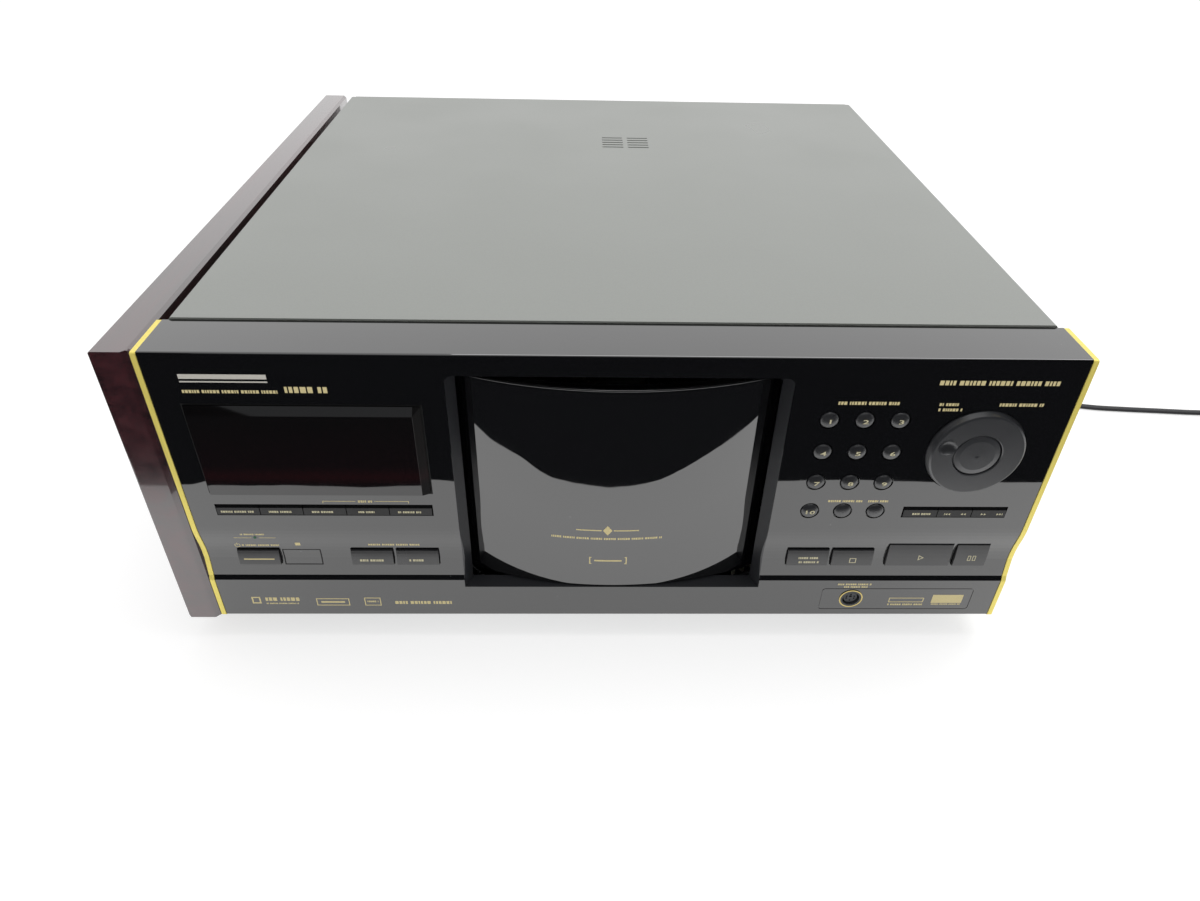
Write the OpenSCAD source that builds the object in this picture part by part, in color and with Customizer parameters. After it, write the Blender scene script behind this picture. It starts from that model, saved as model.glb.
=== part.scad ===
// Full-width disc changer with a rotary rack behind a sliding curved door.
// Millimetres. The front panel's lower edge, centre and face set the shape: X runs along the
// front, Y from front to back and Z up. place() then moves all of it so that the origin lies
// on the floor under the middle of the case.

/* [Front panel] */
// How far each end of the front panel lies outside the rack
rack_side_room = 20; // [19:0.5:30]
// Height of the panel's band over the window
top_band = 10.8; // [9:0.2:16]
// Depth of the flat strip along the top of the panel
strip_d = 30; // [26:0.5:36]
// Wall of the panel moulding
panel_t = 3; // [2.6:0.1:3.2]
// Radius of the panel's top front edge
brow_r = 1.2; // [0.6:0.1:2]
// Height at which the face starts to curve back
cove_top = 64; // [62:0.5:68]
// Height over which it curves back
cove_slope = 20; // [14:1:24]
// Depth of the hollow in the lower face
cove_d = 2.3; // [2:0.1:3.4]
// Height of the flat sill below the hollow
sill_h = 26.8; // [26:0.1:28]
// Thickness of each end trim
trim_t = 2.4; // [1.6:0.1:4]
// How far the trims stand out past the panel's face
trim_proud = 0.4; // [0.2:0.1:1]

/* [Window and door] */
// Width of the window at the face
window_w = 157.5; // [150:0.5:160]
// Height of the window's lower edge
window_z0 = 21.8; // [21:0.1:23]
// Height of the gap between the door and the window's upper edge
window_over_door = 7.1; // [5:0.1:9]
// Radius of the window's upper corners
window_r = 4; // [2:0.5:8]
// How far each slanted jamb narrows the window
jamb_in = 3.5; // [3:0.1:5]
// Gap between a jamb's inner edge and the door behind it
jamb_clear = 5.7; // [4.5:0.1:6.5]
// Outer radius of the curved door, about the rack's axis
door_r = 200; // [199:0.5:201]
// Wall of the door
door_t = 2.5; // [2:0.1:3]
// How much narrower the door is than the window, on each side
door_side_gap = 2.75; // [2.25:0.25:4.5]
// How far the door reaches over the top of a disc in the rack
door_over_disc = 8.5; // [5:0.5:9]
// Radius of the door's lower corners
door_corner_r = 5; // [3:0.5:8]
// Angle through which the door slides open
door_swing = 46; // [44:1:48]

/* [Case] */
// Height of the feet
foot_h = 18; // [12:1:24]
// Diameter of the feet
foot_d = 52; // [40:1:60]
// How far each side of the steel case lies inside the panel's end
case_inset = 2.6; // [1:0.1:4]
// Depth of the room behind the rack
rear_room = 27; // [26:1:40]
// How far the cover stands above the panel's top strip
cover_step = 1; // [0.4:0.1:2]
// Sheet thickness of the cover and rear panel
sheet_t = 1; // [0.8:0.1:1.2]
// Sheet thickness of the base
base_t = 1.2; // [1:0.1:1.6]
// Thickness of the lacquered side panel
side_t = 18; // [14:0.5:22]
// Length of the lacquered side panel
side_l = 423; // [410:1:430]
// Number of vent slots in each group
vent_n = 5; // [3:1:7]
// Spacing of the vent slots
vent_pitch = 5.4; // [4:0.1:6]

/* [Controls] */
// Gap between a key and its hole
key_gap = 0.35; // [0.25:0.05:0.5]
// Travel of every key
key_travel = 0.8; // [0.5:0.1:1]
// Diameter of the round keys
round_d = 8.7; // [8:0.1:9.5]
// Spacing of the round keys along X
round_px = 16.6; // [15.5:0.1:18]
// Spacing of the round keys along Z
round_pz = 18.4; // [16:0.1:19]
// How far the round keys stand out
round_proud = 1.4; // [0.8:0.1:2]
// Distance from the panel's end to the lens and the outer keys
end_gap = 13; // [12.5:0.5:16]
// Distance from the window to the lens
lens_gap = 11.75; // [10.5:0.25:14]
// Width of one slim key on the right
slim_right_w = 17.5; // [17:0.1:17.9]
// Height of the slim keys
slim_h = 6.5; // [5.5:0.1:7]
// How far the slim keys stand out
slim_proud = 0.5; // [0.2:0.1:1]
// How far the large keys stand out of the hollow
big_proud = 2.2; // [1.6:0.1:3]
// Radius of the jog dial at its foot
dial_r = 23.5; // [21:0.1:24]
// How far the dial stands out
dial_proud = 3.5; // [3:0.1:5]
// Radius of the push button in the dial
dial_button_r = 11.3; // [9:0.1:12]
// Width of the display lens
lens_w = 106.5; // [100:0.5:108]
// Height of the display lens
lens_h = 50.6; // [46:0.2:52]
// How far the lens stands out
lens_proud = 3.5; // [2:0.1:4.5]
// Radius of the gold ring round the control socket
socket_ring_r = 6.4; // [6:0.1:7]

/* [Rack and drive] */
// Number of disc slots in the rack
slots = 300; // [100:50:300]
// Room between the rack and the door for the door's toothed carrier
carrier_room = 7.5; // [7.5:0.1:8.5]
// Height of the outer slotted ring
comb_out_h = 35; // [28:1:38]
// Height of the inner slotted ring
comb_in_h = 31; // [24:1:36]
// Tooth size (pitch diameter over number of teeth) of the rack's drive ring
rack_m = 2; // [2:0.1:2]
// Teeth of the rack's drive pinion
rack_pinion_n = 24; // [24:1:24]
// Teeth of the door's drive gear
door_gear_n = 32; // [32:1:34]
// Radius of the two drive motors
motor_r = 10.4; // [9:0.1:10.4]
// Length of the two drive motors
motor_l = 26; // [20:1:32]
// Clearance round a shaft that turns or slides
run = 0.05; // [0.03:0.01:0.08]
// Clearance between faces that pass each other
slip = 0.3; // [0.2:0.05:0.4]

/* [Rear] */
// Columns of phono jacks
jack_cols = 4; // [2:1:5]
// Spacing of the phono jacks
jack_pitch = 15; // [14:0.5:18]
// Radius of a phono jack's shell
jack_r = 4.15; // [4.1:0.05:4.2]
// How far a phono jack stands out of the rear panel
jack_out = 8.5; // [8:0.1:10]
// Length of the cord's tapered strain relief outside the case
relief_l = 28; // [22:1:40]
// Width of the flat mains cord
cord_w = 5.4; // [5:0.1:6]
// Thickness of the flat mains cord
cord_t = 3.4; // [3:0.1:4]

/* [Hidden] */
$fn = 64;

big = 600;                        // longer than the object, for cuts that go right through
eps = 0.01;

// Plan: rack, door and their drives share one upright axis, and the case goes round them
axis_y = door_r;
door_in_r = door_r - door_t;
rack_r = door_in_r - carrier_room;
half_front = window_w / 2 + lens_gap + lens_w + end_gap;
panel_w = 2 * max(half_front, rack_r + rack_side_room);
case_w = panel_w - 2 * case_inset;
case_d = axis_y + rack_r + rear_room;

// Heights: a disc stands on the rack's floor, and the door, the window and the panel clear it
disc_d = 120;                     // every disc has this diameter
gear_z0 = 5;
gear_h = 7;
floor_z = gear_z0 + gear_h;       // underside of the rack's floor
floor_t = 2.5;
disc_z0 = floor_z + floor_t + 3.5;
disc_axis_z = disc_z0 + disc_d / 2;
door_z1 = disc_z0 + disc_d + door_over_disc;
window_z1 = door_z1 + window_over_door;
panel_h = window_z1 + top_band;

// Case, from the floor of the base up
side_gap = 0.2;                   // between an end trim and the side panel
cover_top = panel_h + cover_step;
cover_y0 = strip_d + slip;
inner_w = case_w - 2 * sheet_t;
rear_lip = 12;                    // the cover's lip down over the rear panel
side_x1 = -(panel_w / 2 + trim_t + side_gap);
batten_d = -case_w / 2 - side_x1;

// The object's box at rest, without the cord, and the move that puts the origin under it
box_x0 = side_x1 - side_t;
box_x1 = panel_w / 2 + trim_t;
box_y0 = -max(dial_proud, lens_proud);
box_y1 = case_d + jack_out;
shift = [-(box_x0 + box_x1) / 2, -(box_y0 + box_y1) / 2, foot_h];

// Window, door and the door's toothed carrier
door_w = window_w - 2 * door_side_gap;
jamb_x = window_w / 2 - jamb_in;
jamb_d = door_r - sqrt(door_r * door_r - jamb_x * jamb_x) - jamb_clear;
door_z0 = window_z0 + 0.6;
door_half = asin(door_w / 2 / door_r);
tooth = 1;                        // tooth size of the door's toothed carrier
carrier_pitch_r = door_in_r - 2.5;
carrier_teeth = 2 * carrier_pitch_r / tooth;
carrier_in_r = carrier_pitch_r - 2.4;
carrier_tail = 15;                // degrees of carrier past the door's closing edge
carrier_z0 = 6;
door_lip_t = 2;
carrier_gear_h = 5;
carrier_top = door_z0 + 3;

// Rack
rail_top = 8.8;                   // top of the ring that the rack turns on
hub_r = 62;                       // bore of the rack's floor
collar_r = hub_r - run - 0.03;
ring_teeth = floor(2 * (rack_r - 2 * rack_m) / rack_m);
ring_pitch_r = ring_teeth * rack_m / 2;
ring_in_r = ring_pitch_r - 6 * rack_m;

// Slots of the two rings that hold the discs on edge
comb_out_r1 = rack_r - 2;
comb_out_r0 = comb_out_r1 - 16;
comb_in_r0 = 80;
comb_in_r1 = 93;
slot_out = 0.5;                   // share of the pitch that a slot takes, outer ring
slot_in = 0.74;                   // and inner ring

// Drive gears
rack_pinion_r = rack_pinion_n * rack_m / 2;
rack_drive_r = ring_pitch_r + rack_pinion_r;
rack_drive_a = 360 / ring_teeth * floor(135 * ring_teeth / 360);
door_gear_r = door_gear_n * tooth / 2;
door_drive_r = carrier_pitch_r + door_gear_r;
door_drive_a = -90 - 360 / carrier_teeth * floor(35 * carrier_teeth / 360);
shaft_r = 1.5;
plate_z = floor_z + 0.6;
plate_t = 1.6;

// Central play mechanism, which stands inside the rack's bore
frame_t = 1.5;
frame_x = -14;                    // face of the upright plate that carries the drive
frame_z0 = 4;
frame_half = 45;
beam_z = disc_z0 + disc_d + 10;
beam_t = 2;
beam_w = 12;
post_y = axis_y + rack_r + 10;
rotor_r = 15.5;
disc_t = 1.2;
rotor_face = -disc_t / 2;
cone_r = 7.45;
lens_track = 24;                  // where the laser starts, from the disc's centre
pickup_travel = 34;
rod_y = 20;
rod_x = frame_x + 5;
rod_r = 1.5;
rod_top = 63;
arm_pivot = [30, 14];
pad_x = 5.2;
push_gap = 2;

// Controls, placed from the panel's ends, the window's edges, the top and the hollow
end_x = panel_w / 2;
edge_x = window_w / 2;
round_x0 = edge_x + 18.85;
round_z0 = panel_h - 33.1;
lens_x0 = -end_x + end_gap;
lens_z0 = panel_h - 27 - lens_h;
slim_left_w = (lens_w - 0.5) / 5;
slim_left_x0 = lens_x0;
slim_right_x0 = end_x - end_gap + 0.5 - 3 * slim_right_w;
slim_z0 = cove_top + 8.2;
dial_x = end_x - 39.2;
dial_z = panel_h - 51;
socket_x = end_x - 79.2;
socket_z = 13.2;
frame_x0 = socket_x - 16.8;       // engraved outline beside the socket
frame_x1 = end_x - end_gap + 0.4;
frame_line = 0.4;
panel_screw_x = [-end_x + 20, -edge_x + 14.75, edge_x - 14.75, end_x - 20];

// Boards behind the panel and their posts
board_y = 9.6;
board_t = 1.6;
board_out = end_x - 8;
board_in = edge_x + 9.25;
board_post_x = [-board_out + 4, -board_in - 4, board_in + 4, board_out - 4];
board_post_z = [cove_top - 3, panel_h - 24.4];

// Large keys in the hollow: x0, x1, z0, z1
key_z0 = sill_h + 10.7;
standby_at = [-end_x + 16, -end_x + 37, key_z0, key_z0 + 9.9];
access_at = [-edge_x - 57.25, -edge_x - 35.85, key_z0, key_z0 + 10];
loader_at = [-edge_x - 33.95, -edge_x - 12.25, key_z0, key_z0 + 10];
open_at = [edge_x + 12.75, edge_x + 34.35, key_z0, key_z0 + 10.8];
stop_at = [edge_x + 36.45, edge_x + 58.05, key_z0, key_z0 + 10.8];
pause_at = [end_x - 29.7, end_x - 12.8, key_z0, key_z0 + 14.8];
play_at = [stop_at[1] + 7.4, pause_at[0] - 2.3, key_z0, key_z0 + 14.8];
big_keys = [standby_at, access_at, loader_at, open_at, stop_at, play_at, pause_at];
ir_at = [-end_x + 38.6, -end_x + 58.2, key_z0 - 1, key_z0 + 9.4];
led_at = [-end_x + 27.3, cove_top - 7.6];
cove_back = cove_d + panel_t;

// Rear connections
jack_z = 70;
jack_x0 = -case_w / 2 + 32.4;
svideo_x = jack_x0 + jack_cols * jack_pitch + 6;
optical_x = svideo_x + 20;
relief_x = case_w / 2 - 32.4;
relief_z = 30;
relief_body = 8;
board_gap = 12;                   // from the main board to the rear panel's face
field_t = 0.6;                    // depth of the pressed field round the jacks

// Side screws: centres of a rectangle on each side of the case
side_screw_y = [80, case_d - 57];
side_screw_z = [30, 130];
side_screw_r = 2.1;
corner_x = case_w / 2 - 57.4;     // feet, rear screws and transformer line up here
foot_x = [-corner_x, corner_x];
foot_y = [62, case_d - 79];
screw_r = 1.2;
cover_screw_y = [120, case_d - 87];
cover_screw_z = 7;
base_screw_z = 9;
rear_screw_x = [-corner_x, 0, corner_x];
head_r = 3.2;                     // heads of the case's screws

// Mains cord: the route's centre line from the strain relief over the floor, as placed
cord_lift = cord_t / 2;
cord_exit = [relief_x, case_d + relief_l, relief_z] + shift;
cord_route = [
    cord_exit, cord_exit + [0, 12, 0], cord_exit + [1, 28, -5], cord_exit + [3, 46, -20],
    cord_exit + [6, 62, 10 - cord_exit[2]], [194, 316, cord_lift], [206, 342, cord_lift],
    [236, 360, cord_lift], [276, 352, cord_lift], [312, 320, cord_lift], [333, 270, cord_lift],
    [336, 210, cord_lift], [332, 150, cord_lift], [332, 98, cord_lift], [346, 56, cord_lift],
    [372, 33, cord_lift], [398, 25, cord_lift], [425, 22, cord_lift], [452, 20, cord_lift],
    [480, 18, cord_lift], [504, 18, cord_lift], [528, 19.4, cord_lift]
];
cord_steps = 3;
coil_r = 30;
coil_cols = 3;
coil_rows = 2;
coil_c = [528, -16];
plug_lead = 30;                   // cord between the coil and the plug
plug_l = 24;
plug_w = 19;
plug_h = 13;
plug_boot = 26;
blade_l = 17;

// ---------------------------------------------------------------- helpers

module place() {
    translate(shift) children();
}

// Extrudes a (Y, Z) outline along X
module along_x(x0, length) {
    translate([x0, 0, 0]) rotate([90, 0, 90]) linear_extrude(length) children();
}

// Extrudes an (X, Z) outline from y0 towards the back
module along_y(y0, length) {
    translate([0, y0 + length, 0]) rotate([90, 0, 0]) linear_extrude(length) children();
}

// A round bar along Y
module bar_y(x, z, r, y0, y1) {
    translate([x, y0, z]) rotate([-90, 0, 0]) cylinder(r = r, h = y1 - y0);
}

// A round bar along X
module bar_x(y, z, r, x0, x1) {
    translate([x0, y, z]) rotate([0, 90, 0]) cylinder(r = r, h = x1 - x0);
}

// Moves to a point on a circle about the rack's axis
module on_ring(r, a) {
    translate([r * cos(a), axis_y + r * sin(a), 0]) rotate([0, 0, a]) children();
}

// A flat arc about the rack's axis, from angle a0 over sweep degrees
module arc(r0, r1, z0, h, a0, sweep) {
    translate([0, axis_y, z0]) rotate([0, 0, a0])
        rotate_extrude(angle = sweep, $fn = 180) translate([r0, 0]) square([r1 - r0, h]);
}

module ring(r0, r1, z0, h) {
    translate([0, axis_y, z0]) difference() {
        cylinder(r = r1, h = h, $fn = 180);
        translate([0, 0, -eps]) cylinder(r = r0, h = h + 2 * eps, $fn = 180);
    }
}

// A rectangle whose four corners are round
module soft_rect(x0, z0, w, h, r) {
    translate([x0 + r, z0]) square([w - 2 * r, h]);
    translate([x0, z0 + r]) square([w, h - 2 * r]);
    for (x = [x0 + r, x0 + w - r], z = [z0 + r, z0 + h - r]) translate([x, z]) circle(r);
}

// Corner points of one straight-flanked tooth centred on angle a, its foot this far inwards
function tooth_points(r, m, a, p, foot = 1.15) = [
    for (s = [[-0.31, -foot], [-0.12, 0.85], [0.12, 0.85], [0.31, -foot]])
        (r + s[1] * m) * [cos(a + s[0] * p), sin(a + s[0] * p)]
];

// A whole toothed wheel of n teeth of size m
function wheel_points(n, m) = [
    for (i = [0:n - 1]) each tooth_points(n * m / 2, m, i * 360 / n, 360 / n)
];

// ---------------------------------------------------------------- front panel

// Where the face lies at height z in the upper part of the hollow
function cove_y(t) = cove_d * (1 - cos(180 * t)) / 2;

// Below the hollow the face comes forward again in a shallow ramp that ends at the sill
ramp_z1 = cove_top - cove_slope - 3;
ramp_z0 = sill_h + 3;
ramp_h = ramp_z1 - ramp_z0;

panel_face = concat(
    [for (a = [90:15:180]) [brow_r + brow_r * cos(a), panel_h - brow_r + brow_r * sin(a)]],
    [for (t = [0:0.125:1]) [cove_y(t), cove_top - cove_slope * t]],
    [[cove_d, ramp_z1], [0.77 * cove_d, ramp_z0 + 0.6 * ramp_h],
     [0.53 * cove_d, ramp_z0 + 0.22 * ramp_h], [0.4 * cove_d, ramp_z0], [0, sill_h]],
    [[0, 0.8], [0.8, 0]]
);
panel_back = concat(
    [[strip_d + eps, panel_h - panel_t], [panel_t, panel_h - panel_t]],
    [for (t = [0:0.125:1]) [panel_t + cove_y(t), cove_top - cove_slope * t]],
    [[cove_back, ramp_z1], [panel_t, sill_h], [panel_t, panel_t],
     [strip_d + eps, panel_t]]
);

// The full side outline of the panel
module panel_outline() {
    polygon(concat([[strip_d, 0], [strip_d, panel_h]], panel_face));
}

module window_outline() {
    translate([-window_w / 2, window_z0]) {
        square([window_w, window_z1 - window_z0 - window_r]);
        translate([window_r, 0]) square([window_w - 2 * window_r, window_z1 - window_z0]);
        for (x = [window_r, window_w - window_r])
            translate([x, window_z1 - window_z0 - window_r]) circle(window_r);
    }
}

// Slanted jambs, lintel and sill, trimmed to the panel's curved face
module window_lining() {
    hw = window_w / 2;
    wall = 2;
    intersection() {
        along_x(-panel_w / 2, panel_w) panel_outline();
        union() {
            for (side = [-1, 1])
                translate([0, 0, window_z0 - wall])
                    linear_extrude(window_z1 - window_z0 + 2 * wall)
                        polygon([
                            [side * hw, 0], [side * (hw - jamb_in), jamb_d],
                            [side * (hw - jamb_in + wall), jamb_d],
                            [side * (hw + wall), cove_back], [side * (hw + wall), 0]
                        ]);
            along_x(-hw - wall, window_w + 2 * wall)
                polygon([[0, window_z1], [jamb_d, window_z1 - 1], [jamb_d, window_z1 + wall],
                         [0, window_z1 + wall]]);
            along_x(-hw - wall, window_w + 2 * wall)
                polygon([[0, window_z0], [jamb_d, window_z0], [jamb_d, window_z0 - wall],
                         [0, window_z0 - wall]]);
        }
    }
}

// A through hole for a rectangular key, with its gap all round
module key_hole(at) {
    translate([at[0] - key_gap, -1, at[2] - key_gap])
        cube([at[1] - at[0] + 2 * key_gap, cove_back + 2, at[3] - at[2] + 2 * key_gap]);
}

module front_panel_holes() {
    for (at = big_keys) key_hole(at);
    key_hole([ir_at[0] + 0.25, ir_at[1] - 0.25, ir_at[2] + 0.25, ir_at[3] - 0.25]);
    key_hole([slim_left_x0, slim_left_x0 + 5 * slim_left_w, slim_z0, slim_z0 + slim_h]);
    key_hole([slim_right_x0, slim_right_x0 + 3 * slim_right_w, slim_z0, slim_z0 + slim_h]);
    for (c = [0:2], r = [0:3])
        bar_y(round_x0 + c * round_px, round_z0 - r * round_pz, round_d / 2 + key_gap, -1, 5);
    // a shallow ring round each round key
    for (c = [0:2], r = [0:3])
        bar_y(round_x0 + c * round_px, round_z0 - r * round_pz, round_d / 2 + 0.6, -1, 0.4);
    bar_y(dial_x, dial_z, dial_r + slip, -1, 1);
    bar_y(dial_x, dial_z, dial_button_r + 3, -1, 5);
    bar_y(led_at[0], led_at[1], 0.8, -1, cove_back + 1);
    bar_y(socket_x, socket_z, socket_ring_r - 0.8, -1, 5);
    // engraved outline beside the socket
    along_y(-1, 1.3) difference() {
        soft_rect(frame_x0, socket_z - 8.4, frame_x1 - frame_x0, 16, 2);
        soft_rect(frame_x0 + frame_line, socket_z - 8.4 + frame_line,
                  frame_x1 - frame_x0 - 2 * frame_line, 16 - 2 * frame_line, 2 - frame_line);
    }
    translate([lens_x0 + 2, -1, lens_z0 + 2]) cube([lens_w - 4, 5, lens_h - 4]);
    along_y(-1, 1.5) soft_rect(lens_x0 - 0.2, lens_z0 - 0.2, lens_w + 0.4, lens_h + 0.4, 0.4);
}

module front_panel() {
    color([0.03, 0.03, 0.035]) place() difference() {
        union() {
            difference() {
                along_x(-panel_w / 2, panel_w) difference() {
                    panel_outline();
                    polygon(panel_back);
                }
                along_y(-1, cove_back + 2) window_outline();
                // the lower return is only a narrow lip
                translate([-panel_w, 12, -1]) cube([2 * panel_w, big, panel_t + 2]);
            }
            for (x = [-panel_w / 2, panel_w / 2 - panel_t]) along_x(x, panel_t) panel_outline();
            window_lining();
            // screw bosses behind the strip
            for (x = panel_screw_x)
                translate([x, 22, panel_h - panel_t - 9]) cylinder(r = 3.4, h = 9.5);
            // posts that the two boards are screwed to
            for (x = board_post_x, z = board_post_z) bar_y(x, z, 2.6, panel_t - 0.5, board_y);
        }
        front_panel_holes();
        // room for the door's carrier and its rail
        translate([0, axis_y, -1]) cylinder(r = door_in_r - 0.9, h = door_z0 + 1, $fn = 180);
        for (x = panel_screw_x)
            translate([x, 22, panel_h - panel_t - 10]) cylinder(r = 1.3, h = 9);
    }
}

// A raised block with bevelled edges, cut from two crossed outlines
module display_lens() {
    x1 = lens_x0 + lens_w;
    z1 = lens_z0 + lens_h;
    bevel = 3.6;
    color([0.06, 0.015, 0.02]) place() intersection() {
        along_x(lens_x0, lens_w) polygon([
            [0.5, lens_z0], [-0.6, lens_z0], [-lens_proud, lens_z0 + 1],
            [-lens_proud, z1 - bevel], [-0.6, z1], [0.5, z1], [0.5, z1 - 2 - slip],
            [2.4, z1 - 2 - slip], [2.4, lens_z0 + 2 + slip], [0.5, lens_z0 + 2 + slip]
        ]);
        linear_extrude(panel_h) polygon([
            [lens_x0, 0.5], [lens_x0, -0.6], [lens_x0 + 1.4, -lens_proud],
            [x1 - bevel, -lens_proud], [x1, -0.6], [x1, 0.5], [x1 - 2 - slip, 0.5],
            [x1 - 2 - slip, 2.4], [lens_x0 + 2 + slip, 2.4], [lens_x0 + 2 + slip, 0.5]
        ]);
    }
}

module ir_window() {
    color([0.05, 0.03, 0.04]) place()
        intersection() {
            along_x(ir_at[0], ir_at[1] - ir_at[0]) panel_outline();
            translate([ir_at[0] - 1, 0, ir_at[2]])
                cube([ir_at[1] - ir_at[0] + 2, cove_d + 2.4, ir_at[3] - ir_at[2]]);
        }
}

// Six-pin round socket: a metal shell with a gold ring, and an insulator with the contacts
module keyboard_socket() {
    core_r = socket_ring_r - 2.7;
    color([0.1, 0.1, 0.1]) place() difference() {
        union() {
            bar_y(socket_x, socket_z, socket_ring_r, -0.4, 0);
            bar_y(socket_x, socket_z, socket_ring_r - 0.8 - 0.1, 0, board_y);
        }
        difference() {
            bar_y(socket_x, socket_z, socket_ring_r - 1.8, -1, 7);
            bar_y(socket_x, socket_z, core_r, 0.8, 8);
        }
        for (a = [20, 90, 160, 200, 270, 340])
            bar_y(socket_x + 2.2 * cos(a), socket_z + 2.2 * sin(a), 0.5, 0, 5);
        translate([socket_x - 0.8, 0, socket_z + 0.2]) cube([1.6, 4, 1.1]);
    }
}

// One end trim: the panel's own side outline, a little proud of the face
module end_trims() {
    color([0.85, 0.7, 0.25]) place()
        for (x = [-panel_w / 2 - trim_t, panel_w / 2])
            along_x(x, trim_t) translate([-trim_proud, 0]) panel_outline();
}

// ---------------------------------------------------------------- case

module side_panel_left() {
    edge = 1.6;
    color([0.22, 0.05, 0.08]) place() difference() {
        union() {
            translate([side_x1 - side_t, -1, -0.8]) intersection() {
                linear_extrude(panel_h + 2.2) polygon([
                    [edge, 0], [side_t - 3.2, 0], [side_t, 3.2], [side_t, side_l],
                    [0, side_l], [0, edge]
                ]);
                along_y(0, side_l) polygon([
                    [0, 0], [side_t, 0], [side_t, panel_h + 1.4 - edge],
                    [side_t - edge, panel_h + 1.4], [edge, panel_h + 1.4],
                    [0, panel_h + 1.4 - edge]
                ]);
            }
            // battens that hold it off the steel case
            for (z = side_screw_z)
                translate([side_x1 - eps, 50, z - 10])
                    cube([batten_d + eps, case_d - 90, 20]);
        }
        for (y = side_screw_y, z = side_screw_z)
            bar_x(y, z, side_screw_r - 0.5, side_x1 - 10, 0);
    }
}

// Cross-section of the folded cover, outside or inside
module cover_section(grow) {
    r = 1.6;
    half = case_w / 2 - grow;
    top = cover_top - grow;
    translate([-half, 1.5 - grow * 2]) square([2 * half, top - r - 1.5 + grow * 2]);
    translate([-half + r, 10]) square([2 * half - 2 * r, top - 10]);
    for (x = [-half + r, half - r]) translate([x, top - r]) circle(r);
}

module top_cover() {
    y_len = case_d - cover_y0;
    color([0.2, 0.2, 0.21]) place() difference() {
        union() {
            along_y(cover_y0, y_len) difference() {
                cover_section(0);
                cover_section(sheet_t);
            }
            // lip over the rear panel
            translate([-case_w / 2 + 4, case_d - eps, cover_top - rear_lip])
                cube([case_w - 8, sheet_t, rear_lip]);
            translate([-case_w / 2 + 4, case_d - 1, cover_top - sheet_t])
                cube([case_w - 8, 1 + sheet_t - eps, sheet_t]);
            // rolled collars that the side-panel screws pull against
            for (side = [-1, 1], y = side_screw_y, z = side_screw_z)
                bar_x(y, z, side_screw_r + 1.4, side * (case_w / 2 - 1.6) - 1.4,
                      side * (case_w / 2 - 1.6) + 1.4);
        }
        for (side = [-1, 1], y = side_screw_y, z = side_screw_z)
            bar_x(y, z, side > 0 ? side_screw_r : screw_r + 0.5,
                  side * case_w / 2 - 6, side * case_w / 2 + 6);
        // two groups of vent slots
        for (x = [-2.4, 15.8], i = [0:vent_n - 1])
            translate([x, case_d - 125 + i * vent_pitch, cover_top - 4]) cube([14.8, 1.7, 8]);
        for (side = [-1, 1], y = cover_screw_y)
            bar_x(y, cover_screw_z, screw_r + 0.5, side * case_w / 2 - 4, side * case_w / 2 + 4);
        for (x = rear_screw_x)
            bar_y(x, cover_top - 7, screw_r + 0.5, case_d - 4, case_d + 4);
    }
}

module chassis_base() {
    w = inner_w - 0.4;
    y0 = 12.4;
    y1 = case_d - sheet_t - 0.2;
    color([0.62, 0.63, 0.62]) place() difference() {
        union() {
            difference() {
                translate([-w / 2, y0, 0]) cube([w, y1 - y0, 14]);
                translate([-w / 2 + base_t, y0 - 1, base_t])
                    cube([w - 2 * base_t, y1 - y0 + 1 - base_t, 20]);
            }
        }
        // seats of the feet's screws
        for (x = foot_x, y = foot_y) translate([x, y, -1]) cylinder(r = screw_r + 0.3, h = 4);
        for (side = [-1, 1], y = cover_screw_y)
            bar_x(y, cover_screw_z, screw_r + 0.1, side * w / 2 - 4, side * w / 2 + 4);
        // air slots under the rear of the mechanism
        for (side = [-1, 1], i = [0:7])
            translate([side * (corner_x + 15) - 14, case_d - 167 + i * 6, -1])
                cube([28, 2.4, 4]);
        for (x = rear_screw_x) bar_y(x, base_screw_z, screw_r + 0.1, y1 - 4, y1 + 1);
    }
}

// Moulded feet with a raised rim, hollow below, each round its own screw hole
module feet() {
    color([0.08, 0.08, 0.08]) place()
        for (x = foot_x, y = foot_y) translate([x, y, -foot_h]) rotate_extrude(angle = 360)
            polygon([
                [screw_r + 0.3, foot_h], [foot_d / 2 - 6, foot_h], [foot_d / 2 - 4, foot_h - 4],
                [foot_d / 2 - 1, foot_h - 5], [foot_d / 2, foot_h - 7], [foot_d / 2, 4],
                [foot_d / 2 - 2, 1], [foot_d / 2 - 4, 0], [foot_d / 2 - 9, 0],
                [foot_d / 2 - 11, 2], [screw_r + 0.3, 2]
            ]);
}

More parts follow.
